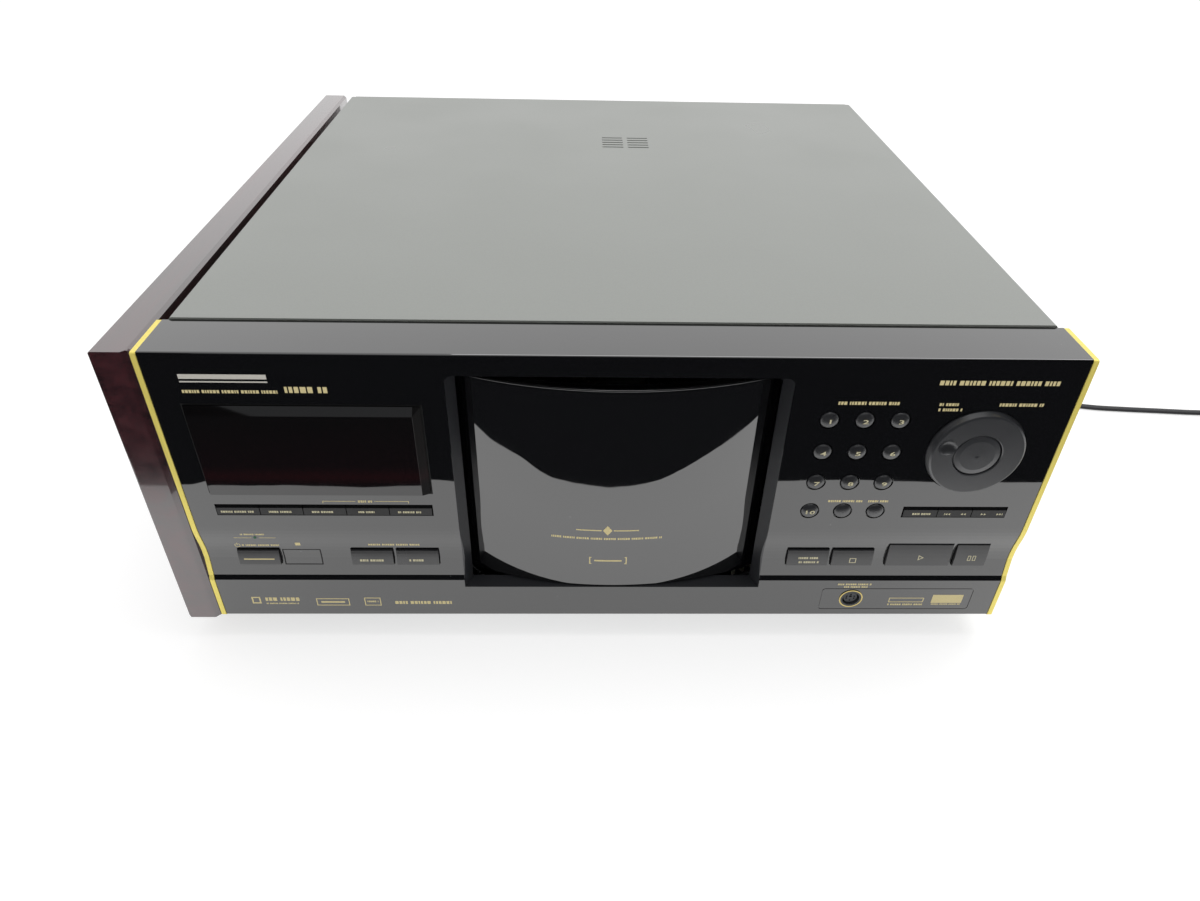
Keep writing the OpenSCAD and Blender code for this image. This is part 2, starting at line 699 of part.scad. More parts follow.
module rear_panel() {
    w = inner_w - 0.4;
    y0 = case_d - sheet_t;
    color([0.16, 0.16, 0.17]) place() difference() {
        union() {
            translate([-w / 2, y0, 0.4]) cube([w, sheet_t - 0.05, cover_top - sheet_t - 0.7]);
            // a shallow pressed field round the jacks
            translate([jack_x0 - 14, y0 - field_t, jack_z - 14])
                cube([optical_x - jack_x0 + 28, 1, 2 * 14 + jack_pitch]);
        }
        for (c = [0:jack_cols - 1], r = [0, 1])
            bar_y(jack_x0 + c * jack_pitch, jack_z + r * jack_pitch, jack_r + 0.75, y0 - 2,
                  case_d + 1);
        bar_y(svideo_x, jack_z + jack_pitch, 6.2, y0 - 2, case_d + 1);
        translate([optical_x - 5.2, y0 - 2, jack_z + jack_pitch - 5.2]) cube([10.4, 5, 10.4]);
        translate([relief_x - 6.2, y0 - 2, relief_z - 5.2]) cube([12.4, 5, 10.4]);
        for (x = rear_screw_x) {
            bar_y(x, cover_top - 7, screw_r + 0.1, y0 - 2, case_d + 1);
            bar_y(x, base_screw_z, screw_r + 0.5, y0 - 2, case_d + 1);
        }
        for (side = [-1, 1], i = [0:11])
            translate([side * 105 - 1.2 + (i - 5.5) * 5, y0 - 2, 118]) cube([2.4, 5, 26]);
    }
}

// Pan-head screws that close the case and the four long ones that hold the side panel
module pan_screw(l) {
    difference() {
        union() {
            cylinder(r = head_r, h = 1.9);
            translate([0, 0, -l]) cylinder(r = screw_r, h = l + eps);
        }
        for (a = [0, 90]) rotate([0, 0, a]) translate([-1.8, -0.4, 1]) cube([3.6, 0.8, 2]);
    }
}

module case_screws() {
    color([0.1, 0.1, 0.1]) place() {
        for (side = [-1, 1], y = cover_screw_y)
            translate([side * case_w / 2, y, cover_screw_z]) rotate([0, side * 90, 0])
                pan_screw(4);
        for (x = rear_screw_x) {
            translate([x, case_d + sheet_t, cover_top - 7]) rotate([-90, 0, 0]) pan_screw(5);
            translate([x, case_d, base_screw_z]) rotate([-90, 0, 0]) pan_screw(4);
        }
        for (y = side_screw_y, z = side_screw_z)
            translate([-case_w / 2 + 3, y, z]) rotate([0, 90, 0]) pan_screw(14);
        for (x = foot_x, y = foot_y) translate([x, y, base_t]) pan_screw(14);
    }
}

// ---------------------------------------------------------------- boards and motors

// Left and right boards behind the panel, with the display tube and the key switches
module front_boards() {
    switch_y = key_rest_y() + key_travel + 0.4;
    joined_y = board_y + board_t / 2;     // everything on a board reaches into it
    color([0.1, 0.35, 0.2]) place() {
        difference() {
            union() {
                translate([-board_out, board_y, 34])
                    cube([board_out - board_in, board_t, panel_h - 18.4 - 34]);
                translate([board_in, board_y, 6])
                    cube([board_out - board_in, board_t, panel_h - 18.4 - 6]);
            }
            for (x = board_post_x, z = board_post_z)
                bar_y(x, z, 1.3, board_y - 1, board_y + 3);
        }
        translate([lens_x0 + 8, 3.4, lens_z0 + 6]) cube([lens_w - 16, joined_y - 3.4, lens_h - 12]);
        for (c = [0:2], r = [0:3])
            bar_y(round_x0 + c * round_px, round_z0 - r * round_pz, 2, switch_y, joined_y);
        for (i = [0:4])
            bar_y(slim_left_x0 + (i + 0.5) * slim_left_w, slim_z0 + slim_h / 2, 2, switch_y,
                  joined_y);
        for (i = [0:2])
            bar_y(slim_right_x0 + (i + 0.5) * slim_right_w, slim_z0 + slim_h / 2, 2, switch_y,
                  joined_y);
        bar_y(dial_x, dial_z, 2, switch_y, joined_y);
        bar_y(led_at[0], led_at[1], 0.75, cove_y(0.38) - 0.2, joined_y);
    }
}

// Upright board behind the rear panel with the phono jacks, round socket and optical port
module main_board() {
    y0 = case_d - board_gap;
    jz = jack_z + jack_pitch;
    color([0.12, 0.4, 0.22]) place() {
        difference() {
            union() {
                translate([jack_x0 - 20, y0 - board_t, 20])
                    cube([optical_x - jack_x0 + 40, board_t, 110]);
                translate([jack_x0 - 9, y0 - eps, jack_z - 8])
                    cube([(jack_cols - 1) * jack_pitch + 18, board_gap - sheet_t - field_t,
                          jack_pitch + 16]);
                for (c = [0:jack_cols - 1], r = [0, 1]) {
                    x = jack_x0 + c * jack_pitch;
                    z = jack_z + r * jack_pitch;
                    bar_y(x, z, jack_r + 0.6, y0, case_d);
                    bar_y(x, z, jack_r, y0, case_d + jack_out);
                }
                bar_y(svideo_x, jz, 6, y0 - eps, case_d + 0.4);
                translate([optical_x - 5, y0 - eps, jz - 5]) cube([10, board_gap + 1, 10]);
                // chips, heat sink and capacitors on the inner side
                translate([jack_x0 + 20, y0 - board_t - 3, 30]) cube([28, 3 + eps, 28]);
                for (i = [0:4])
                    translate([jack_x0 + 62 + i * 4, y0 - board_t - 10, 30])
                        cube([1.6, 10 + eps, 40]);
                for (z = [38, 56, 110])
                    translate([jack_x0 - 8, y0 - board_t - 14, z]) rotate([-90, 0, 0])
                        cylinder(r = 5, h = 14 + eps);
            }
            for (c = [0:jack_cols - 1], r = [0, 1])
                bar_y(jack_x0 + c * jack_pitch, jack_z + r * jack_pitch, 1.6, case_d - 4,
                      case_d + jack_out + 1);
            difference() {
                bar_y(svideo_x, jz, 4.6, case_d - 6, case_d + 1);
                bar_y(svideo_x, jz, 3.7, case_d - 7, case_d - 0.6);
            }
            for (a = [30, 150, 210, 330])
                bar_y(svideo_x + 2.2 * cos(a), jz + 2.2 * sin(a), 0.5, case_d - 4, case_d);
            translate([optical_x - 3.2, case_d - 8, jz - 3.2]) cube([6.4, 10, 6.4]);
        }
    }
}

// Mains transformer: laminated core, winding and mounting feet
module transformer() {
    x = corner_x;
    y = case_d - 45;
    color([0.5, 0.42, 0.25]) place() {
        translate([x - 28, y - 16, base_t + 8]) cube([56, 32, 46]);
        translate([x - 19, y - 25, base_t + 16]) cube([38, 50, 30]);
        difference() {
            for (s = [-1, 1]) translate([x + s * 22 - 7, y - 20, base_t]) cube([14, 40, 8 + eps]);
            for (s = [-1, 1]) translate([x + s * 22 - 3, y - 21, base_t + 1.5])
                cube([6, 42, 5]);
        }
    }
}

// Two like motors stand on their plates over the rack's pinion and the door's gear
module drive_motors() {
    color([0.7, 0.7, 0.72]) place()
        for (d = [[rack_drive_r, rack_drive_a], [door_drive_r, door_drive_a]])
            on_ring(d[0], d[1]) difference() {
                union() {
                    translate([0, 0, plate_z + plate_t]) cylinder(r = motor_r, h = motor_l);
                    translate([0, 0, plate_z + plate_t + motor_l - eps])
                        cylinder(r = 3, h = 2);
                }
                translate([0, 0, plate_z]) cylinder(r = shaft_r + run, h = 10);
            }
}

// ---------------------------------------------------------------- mechanism frame

// Pedestal for a gear's shaft, and a motor plate over the gear on a post that stands clear of it:
// d is radius, angle about the axis, distance of the post, and the way it lies from the shaft
module drive_post(d) {
    on_ring(d[0], d[1]) rotate([0, 0, d[3]]) {
        translate([0, 0, base_t]) cylinder(r = 4.5, h = gear_z0 - 0.6 - base_t);
        translate([0, 0, plate_z]) cylinder(r = motor_r, h = plate_t);
        translate([0, -6, plate_z]) cube([d[2] + 4, 12, plate_t]);
        translate([d[2], -6, base_t]) cube([4, 12, plate_z + plate_t - base_t]);
        translate([-7, -6, base_t]) cube([d[2] + 11, 12, 1.6]);
    }
}

// A flat arm on the base from radius r0 to r1 at angle a
module floor_arm(r0, r1, a, w, h) {
    translate([0, axis_y, base_t]) rotate([0, 0, a])
        translate([r0, -w / 2, 0]) cube([r1 - r0, w, h]);
}

// Moulded frame: ring that the rack turns on, centre collar, spokes, door rails and their pillars
module mech_frame() {
    rail_r0 = 118;
    rail_r1 = 132;
    door_rail_r0 = carrier_in_r - 1.6;
    door_rail_r1 = carrier_pitch_r + tooth;
    rail_a0 = -90 - door_half - carrier_tail - door_swing - 2;
    rail_a1 = -90 + door_half + 6;
    top_z = door_z1 - door_lip_t - slip;
    top_t = 3;
    gears = [[rack_drive_r, rack_drive_a, rack_pinion_r + 6, 0],
             [door_drive_r, door_drive_a, door_gear_r + 3, -90]];
    color([0.35, 0.35, 0.37]) place() difference() {
        union() {
            ring(rail_r0, rail_r1, base_t, rail_top - base_t);
            // collar and pedestal in one
            translate([0, axis_y, 0]) rotate_extrude() polygon([
                [0, base_t], [collar_r, base_t], [collar_r, floor_z + 1.5],
                [collar_r - 5, floor_z + 1.5], [collar_r - 5, frame_z0], [0, frame_z0]
            ]);
            for (i = [0:7]) floor_arm(collar_r - 3, rail_r0 + 3, i * 45, 10, 2.4);
            // rail and inner lip that guide the foot of the door's carrier
            translate([0, axis_y, 0]) rotate([0, 0, rail_a0])
                rotate_extrude(angle = rail_a1 - rail_a0) polygon([
                    [door_rail_r0, base_t], [door_rail_r1, base_t],
                    [door_rail_r1, carrier_z0 - slip], [carrier_in_r - slip, carrier_z0 - slip],
                    [carrier_in_r - slip, carrier_z0 + 2], [door_rail_r0, carrier_z0 + 2]
                ]);
            for (a = [-150, -90, -66]) floor_arm(rail_r1 - 3, door_rail_r0 + 2, a, 10, 2);
            for (g = gears) floor_arm(rail_r1 - 3, g[0] - 1, g[1], 9, 2);
            // upper rail under the door's turned-in edge, on a pillar at each end
            arc(door_in_r - 5, door_in_r - slip, top_z - top_t, top_t, rail_a0 - 1,
                rail_a1 - rail_a0 + 1);
            for (a = [rail_a0 - 2.2, rail_a1 - 1])
                arc(door_rail_r0 - 0.4, door_r + 3, base_t, top_z + 0.5 - base_t, a, 2);
            for (g = gears) drive_post(g);
        }
        // bores for the two gear shafts
        for (g = gears) on_ring(g[0], g[1])
            translate([0, 0, base_t + 1]) cylinder(r = shaft_r + run, h = 20);
        for (i = [0:3]) translate([0, axis_y, 0]) rotate([0, 0, 22.5 + i * 90])
            translate([125, 0, -1]) cylinder(r = 1.6, h = 12);
    }
}

// Folded steel frame for the play mechanism, its guide rods and the beam of the disc pusher
module drive_frame() {
    z1 = beam_z + beam_t;
    color([0.72, 0.73, 0.74]) place() difference() {
        union() {
            translate([frame_x - frame_t - 8, axis_y - 40, frame_z0]) cube([56, 80, frame_t]);
            translate([frame_x - frame_t, axis_y - frame_half, frame_z0 + frame_t - eps])
                cube([frame_t, 2 * frame_half, z1 - frame_z0 - frame_t]);
            translate([frame_x - frame_t, axis_y - frame_half, beam_z])
                cube([beam_w / 2 - frame_x + frame_t, 2 * frame_half, beam_t]);
            translate([-beam_w / 2, axis_y, beam_z]) cube([beam_w, post_y + 2 - axis_y, beam_t]);
            translate([-beam_w / 2, post_y, base_t]) cube([beam_w, 2, z1 - base_t]);
            // guide rods with their upper lugs
            for (s = [-1, 1]) {
                translate([rod_x, axis_y + s * rod_y, frame_z0 + frame_t - eps])
                    cylinder(r = rod_r, h = rod_top - frame_z0 - frame_t);
                translate([frame_x - eps, axis_y + s * rod_y - 3, rod_top - 0.5])
                    cube([8, 6, 2.5]);
            }
            // ears for the clamp arm's pin
            for (y = [axis_y - 12, axis_y + 9])
                translate([arm_pivot[0] - 4, y, frame_z0 + frame_t - eps])
                    cube([8, 3, arm_pivot[1] + 4 - frame_z0 - frame_t]);
        }
        bar_x(axis_y, disc_axis_z, shaft_r + run, frame_x - 5, frame_x + 5);
        bar_y(arm_pivot[0], arm_pivot[1], shaft_r + run, axis_y - 14, axis_y + 14);
        // lightening windows
        for (s = [-1, 1]) translate([frame_x - 5, axis_y + s * 31 - 8, 84]) cube([10, 16, 50]);
    }
}

// ---------------------------------------------------------------- door

module door_shell() {
    h = door_z1 - door_z0;
    edge = 0.9;
    intersection() {
        translate([0, axis_y, 0]) rotate([0, 0, -90 - door_half])
            rotate_extrude(angle = 2 * door_half, $fn = 180) polygon([
                [door_in_r, door_z0], [door_r - edge, door_z0], [door_r, door_z0 + edge],
                [door_r, door_z1 - 1.6], [door_r - 0.5, door_z1 - 0.5],
                [door_r - 1.6, door_z1], [door_in_r - 3, door_z1],
                [door_in_r - 3, door_z1 - door_lip_t], [door_in_r, door_z1 - door_lip_t]
            ]);
        along_y(-5, 40) union() {
            soft_rect(-door_w / 2, door_z0, door_w, h - 10, door_corner_r);
            translate([-door_w / 2, door_z0 + 20]) square([door_w, h]);
        }
    }
}

module door() {
    carrier_a0 = -90 - door_half - carrier_tail;
    sweep = 2 * door_half + carrier_tail - 2;
    pitch = 360 / carrier_teeth;
    n0 = ceil((carrier_a0 + 90) / pitch) + 1;
    n1 = floor((carrier_a0 + sweep + 90) / pitch) - 1;
    root_r = carrier_pitch_r - 1.15 * tooth;
    color([0.02, 0.02, 0.025]) place() union() {
        door_shell();
        arc(carrier_in_r, root_r, carrier_z0, carrier_top - carrier_z0, carrier_a0, sweep);
        arc(carrier_in_r + 0.3, door_in_r + 0.5, carrier_top - 2.5, 2, -90 - door_half + 2,
            2 * door_half - 4);
        translate([0, axis_y, carrier_z0]) linear_extrude(carrier_gear_h) polygon(concat(
            [for (i = [n0:n1])
                each tooth_points(carrier_pitch_r, tooth, -90 + i * pitch, pitch, 1.5)],
            [for (i = [n1:-3:n0]) (carrier_in_r + 0.4)
                * [cos(-90 + i * pitch), sin(-90 + i * pitch)]]
        ));
    }
}

module spur(n, m, h) {
    linear_extrude(h) polygon(wheel_points(n, m));
}

module door_gear() {
    color([0.9, 0.9, 0.85]) place() on_ring(door_drive_r, door_drive_a)
        rotate([0, 0, 180 + 180 / door_gear_n]) {
            translate([0, 0, carrier_z0 + 0.2]) spur(door_gear_n, tooth, carrier_gear_h);
            translate([0, 0, base_t + 1.2]) cylinder(r = shaft_r, h = plate_z + 7 - base_t);
        }
}

// ---------------------------------------------------------------- rack

module rack_tray() {
    top = floor_z + floor_t;
    color([0.12, 0.12, 0.13]) place() translate([0, axis_y, 0]) rotate_extrude($fn = 180)
        polygon([
            [hub_r, floor_z], [122, floor_z], [122.6, rail_top + 0.2], [127.4, rail_top + 0.2],
            [128, floor_z], [rack_r, floor_z], [rack_r, top + comb_out_h + 2],
            [rack_r - 1.6, top + comb_out_h + 2], [rack_r - 1.6, top], [hub_r + 2, top],
            [hub_r + 2, top + 8], [hub_r, top + 8]
        ]);
}

// Outer ring: slots open inwards. Inner ring: fingers on a low band, so a disc can roll through
module rack_dividers() {
    top = floor_z + floor_t;
    pitch = 360 / slots;
    half = slot_out * pitch / 2;
    r1 = comb_out_r1 - 0.1;
    color([0.16, 0.16, 0.17]) place() translate([0, axis_y, top]) {
        linear_extrude(comb_out_h) polygon(
            points = concat(
                [for (i = [0:119]) r1 * [cos(3 * i), sin(3 * i)]],
                [for (i = [0:slots - 1]) each [
                    comb_out_r0 * [cos(i * pitch + half), sin(i * pitch + half)],
                    comb_out_r0 * [cos((i + 1) * pitch - half), sin((i + 1) * pitch - half)],
                    (r1 - 2.2) * [cos((i + 1) * pitch - half), sin((i + 1) * pitch - half)],
                    (r1 - 2.2) * [cos((i + 1) * pitch + half), sin((i + 1) * pitch + half)]
                ]]
            ),
            paths = [[for (i = [0:119]) i], [for (i = [0:4 * slots - 1]) 120 + i]]
        );
        inner_comb(pitch);
    }
}

module inner_comb(pitch) {
    half = slot_in * pitch / 2;
    linear_extrude(comb_in_h) polygon(
        points = concat(
            [for (i = [0:119]) comb_in_r0 * [cos(3 * i), sin(3 * i)]],
            [for (i = [0:slots - 1]) each [
                comb_in_r1 * [cos(i * pitch + half), sin(i * pitch + half)],
                comb_in_r1 * [cos((i + 1) * pitch - half), sin((i + 1) * pitch - half)],
                (comb_in_r0 + 2) * [cos((i + 1) * pitch - half), sin((i + 1) * pitch - half)],
                (comb_in_r0 + 2) * [cos((i + 1) * pitch + half), sin((i + 1) * pitch + half)]
            ]]
        ),
        paths = [[for (i = [0:119]) i], [for (i = [0:4 * slots - 1]) 120 + i]]
    );
}

module rack_ring_gear() {
    color([0.85, 0.85, 0.8]) place() translate([0, axis_y, gear_z0]) linear_extrude(gear_h)
        polygon(
            points = concat(
                wheel_points(ring_teeth, rack_m),
                [for (i = [0:119]) ring_in_r * [cos(3 * i), sin(3 * i)]]
            ),
            paths = [[for (i = [0:4 * ring_teeth - 1]) i],
                     [for (i = [0:119]) 4 * ring_teeth + i]]
        );
}

module rack_pinion() {
    color([0.9, 0.9, 0.85]) place() on_ring(rack_drive_r, rack_drive_a)
        rotate([0, 0, 180 + 180 / rack_pinion_n]) {
            translate([0, 0, gear_z0]) spur(rack_pinion_n, rack_m, gear_h);
            translate([0, 0, base_t + 1.2]) cylinder(r = shaft_r, h = plate_z + 7 - base_t);
        }
}

// ---------------------------------------------------------------- play mechanism

module turntable() {
    color([0.75, 0.75, 0.78]) place() translate([0, axis_y, disc_axis_z]) rotate([0, 90, 0])
        rotate_extrude() polygon([
            [0, frame_x - 3], [shaft_r, frame_x - 3], [shaft_r, frame_x + 1],
            [4, frame_x + 1.6], [rotor_r - 1, frame_x + 1.6], [rotor_r, frame_x + 2.6],
            [rotor_r, rotor_face - 0.6], [rotor_r - 0.6, rotor_face], [cone_r, rotor_face],
            [cone_r, rotor_face + 1.6], [cone_r - 2.2, rotor_face + 2.8], [0, rotor_face + 2.8]
        ]);
}

module pickup() {
    z = disc_axis_z - lens_track;
    color([0.25, 0.25, 0.27]) place() difference() {
        union() {
            translate([frame_x + slip, axis_y - 26, z - 10]) cube([9, 52, 17]);
            bar_x(axis_y, z, 5, frame_x + 9, frame_x + 10.6);
            bar_x(axis_y, z, 2.4, frame_x + 10, rotor_face - 1.4);
        }
        for (s = [-1, 1]) translate([rod_x, axis_y + s * rod_y, 0])
            cylinder(r = rod_r + run, h = 100);
        translate([frame_x - 1, axis_y - 12, z - 11]) cube([5, 24, 8]);
    }
}

// Pressed arm with the free-turning pad that holds the disc on the turntable
module clamp_arm() {
    px = arm_pivot[0];
    pz = arm_pivot[1];
    color([0.6, 0.62, 0.65]) place() {
        difference() {
            union() {
                translate([px - 2, axis_y - 8.6, pz - 3]) cube([3, 17.2, disc_axis_z - pz + 8]);
                bar_y(px, pz, 3.4, axis_y - 8.6, axis_y + 8.6);
                bar_y(px, pz, shaft_r, axis_y - 12, axis_y + 12);
                bar_x(axis_y, disc_axis_z, 4, pad_x + 4, px - 1);
                bar_x(axis_y, disc_axis_z, 14, pad_x, pad_x + 4.5);
            }
            bar_x(axis_y, disc_axis_z, 9.4, pad_x - 1, pad_x + 3.4);
        }
    }
}

// Carriage that hangs on the overhead beam and pushes a disc out of the rack into the drive
module disc_pusher() {
    y0 = axis_y + rack_r + push_gap - 5;
    color([0.3, 0.3, 0.32]) place() {
        difference() {
            translate([-beam_w / 2 - 3, y0, beam_z - 4]) cube([beam_w + 6, 12, beam_t + 7]);
            translate([-beam_w / 2 - slip, y0 - 1, beam_z - slip])
                cube([beam_w + 2 * slip, 20, beam_t + 2 * slip]);
            translate([-beam_w / 2 + 2, y0 - 1, beam_z]) cube([beam_w - 4, 20, 20]);
        }
        translate([-0.6, y0 + 5, disc_axis_z - 12]) cube([1.2, 4, beam_z - 4 - disc_axis_z + 12]);
    }
}

// ---------------------------------------------------------------- keys

function key_rest_y() = panel_t + 1.2 + slip;

// Domed round key with a flange behind the panel
module round_key(i) {
    x = round_x0 + (i % 3) * round_px;
    z = round_z0 - floor(i / 3) * round_pz;
    r = round_d / 2;
    color([0.12, 0.12, 0.13]) place() translate([x, 0, z]) rotate([-90, 0, 0])
        rotate_extrude() polygon(concat(
            [for (a = [0:15:75]) [r * sin(a) * 0.98, 0.3 - (round_proud + 0.3) * cos(a)]],
            [[r, 0.4], [r, panel_t + slip], [r + 0.9, panel_t + slip],
             [r + 0.9, key_rest_y()], [0, key_rest_y()]]
        ));
}

// Slim key: a bevelled bar with a flange behind the slot
module slim_key(x0, w) {
    z1 = slim_z0 + slim_h;
    color([0.1, 0.1, 0.11]) place() {
        along_x(x0 + 0.2, w - 0.4) polygon([
            [key_rest_y(), slim_z0], [0, slim_z0], [-slim_proud, slim_z0 + 0.5],
            [-slim_proud, z1 - 1.6], [0.6, z1], [key_rest_y(), z1]
        ]);
        translate([x0 + 0.2, panel_t + slip, slim_z0 - 1.1]) cube([w - 0.4, 1.2, slim_h + 2.2]);
    }
}

// Large key standing out of the hollow, its face a shallow curve
module big_key(at) {
    face = cove_d - big_proud;
    h = at[3] - at[2];
    back = cove_back + slip + 1;
    color([0.09, 0.09, 0.1]) place() {
        along_x(at[0], at[1] - at[0]) polygon(concat(
            [[back, at[3]], [face + 1.3, at[3]]],
            [for (t = [0:0.2:1]) [face + 0.9 * (1 - t) * (1 - t), at[3] - 0.5 - (h - 1) * t]],
            [[face + 0.5, at[2]], [back, at[2]]]
        ));
        translate([at[0], cove_back + slip, at[2] - 1]) cube([at[1] - at[0], 1, h + 2]);
    }
}

module jog_dial() {
    hub = dial_button_r + slip;
    color([0.08, 0.08, 0.085]) place() difference() {
        translate([dial_x, 0, dial_z]) rotate([-90, 0, 0]) rotate_extrude($fn = 120) polygon([
            [hub, 1 - slip], [hub, -dial_proud + 0.4], [hub + 0.4, -dial_proud],
            [dial_r - 1.9, -dial_proud], [dial_r - 1, -dial_proud + 0.6],
            [dial_r - 0.3, -0.4], [dial_r, 1 - slip], [hub + 2.6, 1 - slip],
            [hub + 2.6, panel_t + slip], [hub + 4.4, panel_t + slip],
            [hub + 4.4, key_rest_y()], [hub, key_rest_y()]
        ]);
        translate([dial_x - 15.4, -dial_proud - 2.8, dial_z + 5]) sphere(r = 5.3);
    }
}

module dial_button() {
    color([0.1, 0.1, 0.11]) place() translate([dial_x, 0, dial_z]) rotate([-90, 0, 0])
        rotate_extrude($fn = 96) polygon([
            [0, -dial_proud], [dial_button_r - 3, -dial_proud + 0.1],
            [dial_button_r - 0.6, -dial_proud + 0.4], [dial_button_r, -dial_proud + 1],
            [dial_button_r, key_rest_y()], [0, key_rest_y()]
        ]);
}

// ---------------------------------------------------------------- mains cord

// Moulded bushing: a block in the rear panel and a ribbed taper round the cord
module strain_relief() {
    color([0.08, 0.08, 0.08]) place() {
        translate([relief_x - 6, case_d - relief_body, relief_z - 5])
            cube([12, relief_body + 0.4, 10]);
        translate([relief_x - 8, case_d, relief_z - 7]) cube([16, 2, 14]);
        translate([relief_x, case_d + 2 - eps, relief_z]) rotate([-90, 0, 0])
            rotate_extrude() polygon(concat(
                [[0, 0]],
                [for (i = [0:5]) each [
                    [5.6 - i * 0.4, i * (relief_l - 2) / 6],
                    [5.6 - i * 0.4, (i + 0.6) * (relief_l - 2) / 6],
                    [4.6 - i * 0.3, (i + 0.62) * (relief_l - 2) / 6],
                    [4.6 - i * 0.3, (i + 0.98) * (relief_l - 2) / 6]
                ]],
                [[3, relief_l - 2 + eps], [0, relief_l - 2 + eps]]
            ));
    }
}

// A point on the smooth curve through the route, u counted in route points
function route_at(p, u) =
    let (n = len(p) - 1, i = min(floor(u), n - 1), t = u - i,
         a = i > 0 ? p[i - 1] : 2 * p[0] - p[1], b = p[i], c = p[i + 1],
         d = i + 2 <= n ? p[i + 2] : 2 * p[n] - p[n - 1])
    0.5 * (2 * b + t * (c - a) + t * t * (2 * a - 5 * b + 4 * c - d)
           + t * t * t * (3 * b - a - 3 * c + d));

function unit(v) = v / norm(v);

module mains_cord() {
    n = (len(cord_route) - 1) * cord_steps;
    mid = [for (i = [0:n]) route_at(cord_route, i / cord_steps)];
    run_dir = [for (i = [0:n]) unit(mid[min(i + 1, n)] - mid[max(i - 1, 0)])];
    sides = 8;
    grow = 1 / cos(180 / sides);
    points = [for (i = [0:n]) let (s = unit(cross(run_dir[i], [0, 0, 1])), u = cross(s, run_dir[i]))
        for (k = [0:sides - 1]) let (a = 360 * (k + 0.5) / sides)
            mid[i] + grow * (cord_w / 2 * cos(a) * s + cord_t / 2 * sin(a) * u)];
    faces = concat(
        [[for (k = [sides - 1:-1:0]) k]],
        [for (i = [0:n - 1], k = [0:sides - 1]) each [
            [i * sides + k, (i + 1) * sides + (k + 1) % sides, (i + 1) * sides + k],
            [i * sides + k, i * sides + (k + 1) % sides, (i + 1) * sides + (k + 1) % sides]
        ]],
        [[for (k = [0:sides - 1]) n * sides + k]]
    );
    color([0.12, 0.12, 0.12]) {
        polyhedron(points, faces);
        // the last stretch, from the coil's outer turn to the plug
        translate([plug_x() - cord_w / 2, coil_c[1] - plug_lead, 0])
            cube([cord_w, plug_lead, cord_t]);
    }
}

function plug_x() = coil_c[0] + coil_r + (coil_cols - 1) * cord_w / 2;

module cord_coil() {
    w = coil_cols * cord_w;
    color([0.12, 0.12, 0.12]) translate([coil_c[0], coil_c[1], 0]) rotate_extrude($fn = 96)
        translate([coil_r - w / 2, 0]) square([w, coil_rows * cord_t]);
}

// Flat two-blade plug with its boot, lying beside the coil
module mains_plug() {
    x = plug_x();
    y = coil_c[1] - plug_lead;
    color([0.1, 0.1, 0.1]) {
        translate([x, y, plug_h / 2]) rotate([90, 0, 0]) {
            translate([0, 0, plug_boot - eps]) linear_extrude(plug_l) polygon([
                [-plug_w / 2 + 3, -plug_h / 2], [plug_w / 2 - 3, -plug_h / 2],
                [plug_w / 2, -plug_h / 2 + 3], [plug_w / 2, plug_h / 2 - 3],
                [plug_w / 2 - 3, plug_h / 2], [-plug_w / 2 + 3, plug_h / 2],
                [-plug_w / 2, plug_h / 2 - 3], [-plug_w / 2, -plug_h / 2 + 3]
            ]);
            for (s = [-1, 1]) translate([s * 6.35 - 0.75, -3.2, plug_boot + plug_l - eps])
                cube([1.5, 6.4, blade_l]);
        }
        hull() {
            translate([x - cord_w / 2, y - 1, 0]) cube([cord_w, 1, cord_t]);
            translate([x - 4.5, y - plug_boot, 1.5]) cube([9, 1, 10]);
        }
    }
}

// ---------------------------------------------------------------- assembly

front_panel();
display_lens();
ir_window();
keyboard_socket();
end_trims();
side_panel_left();
top_cover();
chassis_base();
rear_panel();
feet();
case_screws();
front_boards();
main_board();
transformer();
drive_motors();
mech_frame();
drive_frame();
door();
door_gear();
rack_tray();
rack_dividers();
rack_ring_gear();
rack_pinion();
turntable();
pickup();
clamp_arm();
disc_pusher();
round_key(0);  // number_key_1
round_key(1);  // number_key_2
round_key(2);  // number_key_3
round_key(3);  // number_key_4
round_key(4);  // number_key_5
round_key(5);  // number_key_6
round_key(6);  // number_key_7
round_key(7);  // number_key_8
round_key(8);  // number_key_9
round_key(9);  // number_key_10
round_key(10);  // round_key_left
round_key(11);  // round_key_right
slim_key(slim_left_x0, slim_left_w);  // slim_key_1
slim_key(slim_left_x0 + slim_left_w, slim_left_w);  // slim_key_2
slim_key(slim_left_x0 + 2 * slim_left_w, slim_left_w);  // slim_key_3
slim_key(slim_left_x0 + 3 * slim_left_w, slim_left_w);  // slim_key_4
slim_key(slim_left_x0 + 4 * slim_left_w, slim_left_w);  // slim_key_5
slim_key(slim_right_x0, slim_right_w);  // skip_key_1
slim_key(slim_right_x0 + slim_right_w, slim_right_w);  // skip_key_2
slim_key(slim_right_x0 + 2 * slim_right_w, slim_right_w);  // skip_key_3
big_key(standby_at);  // standby_key
big_key(access_at);  // loader_access_key
big_key(loader_at);  // loader_play_key
big_key(open_at);  // open_close_key
big_key(stop_at);  // stop_key
big_key(play_at);  // play_key
big_key(pause_at);  // pause_key
jog_dial();
dial_button();
strain_relief();
mains_cord();
cord_coil();
mains_plug();
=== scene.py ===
# %% [markdown]
# # A disc changer with a rotary rack and a curved door
# The construction is already packed: every part stands in its place, in metres, Z up. This
# notebook gives the parts their finishes, prints the front panel, lays the mains cord and sets
# up the camera, the floor and the light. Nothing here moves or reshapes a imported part.

# %% Load the frame
import math

import bmesh
import bpy
from mathutils import Matrix, Vector


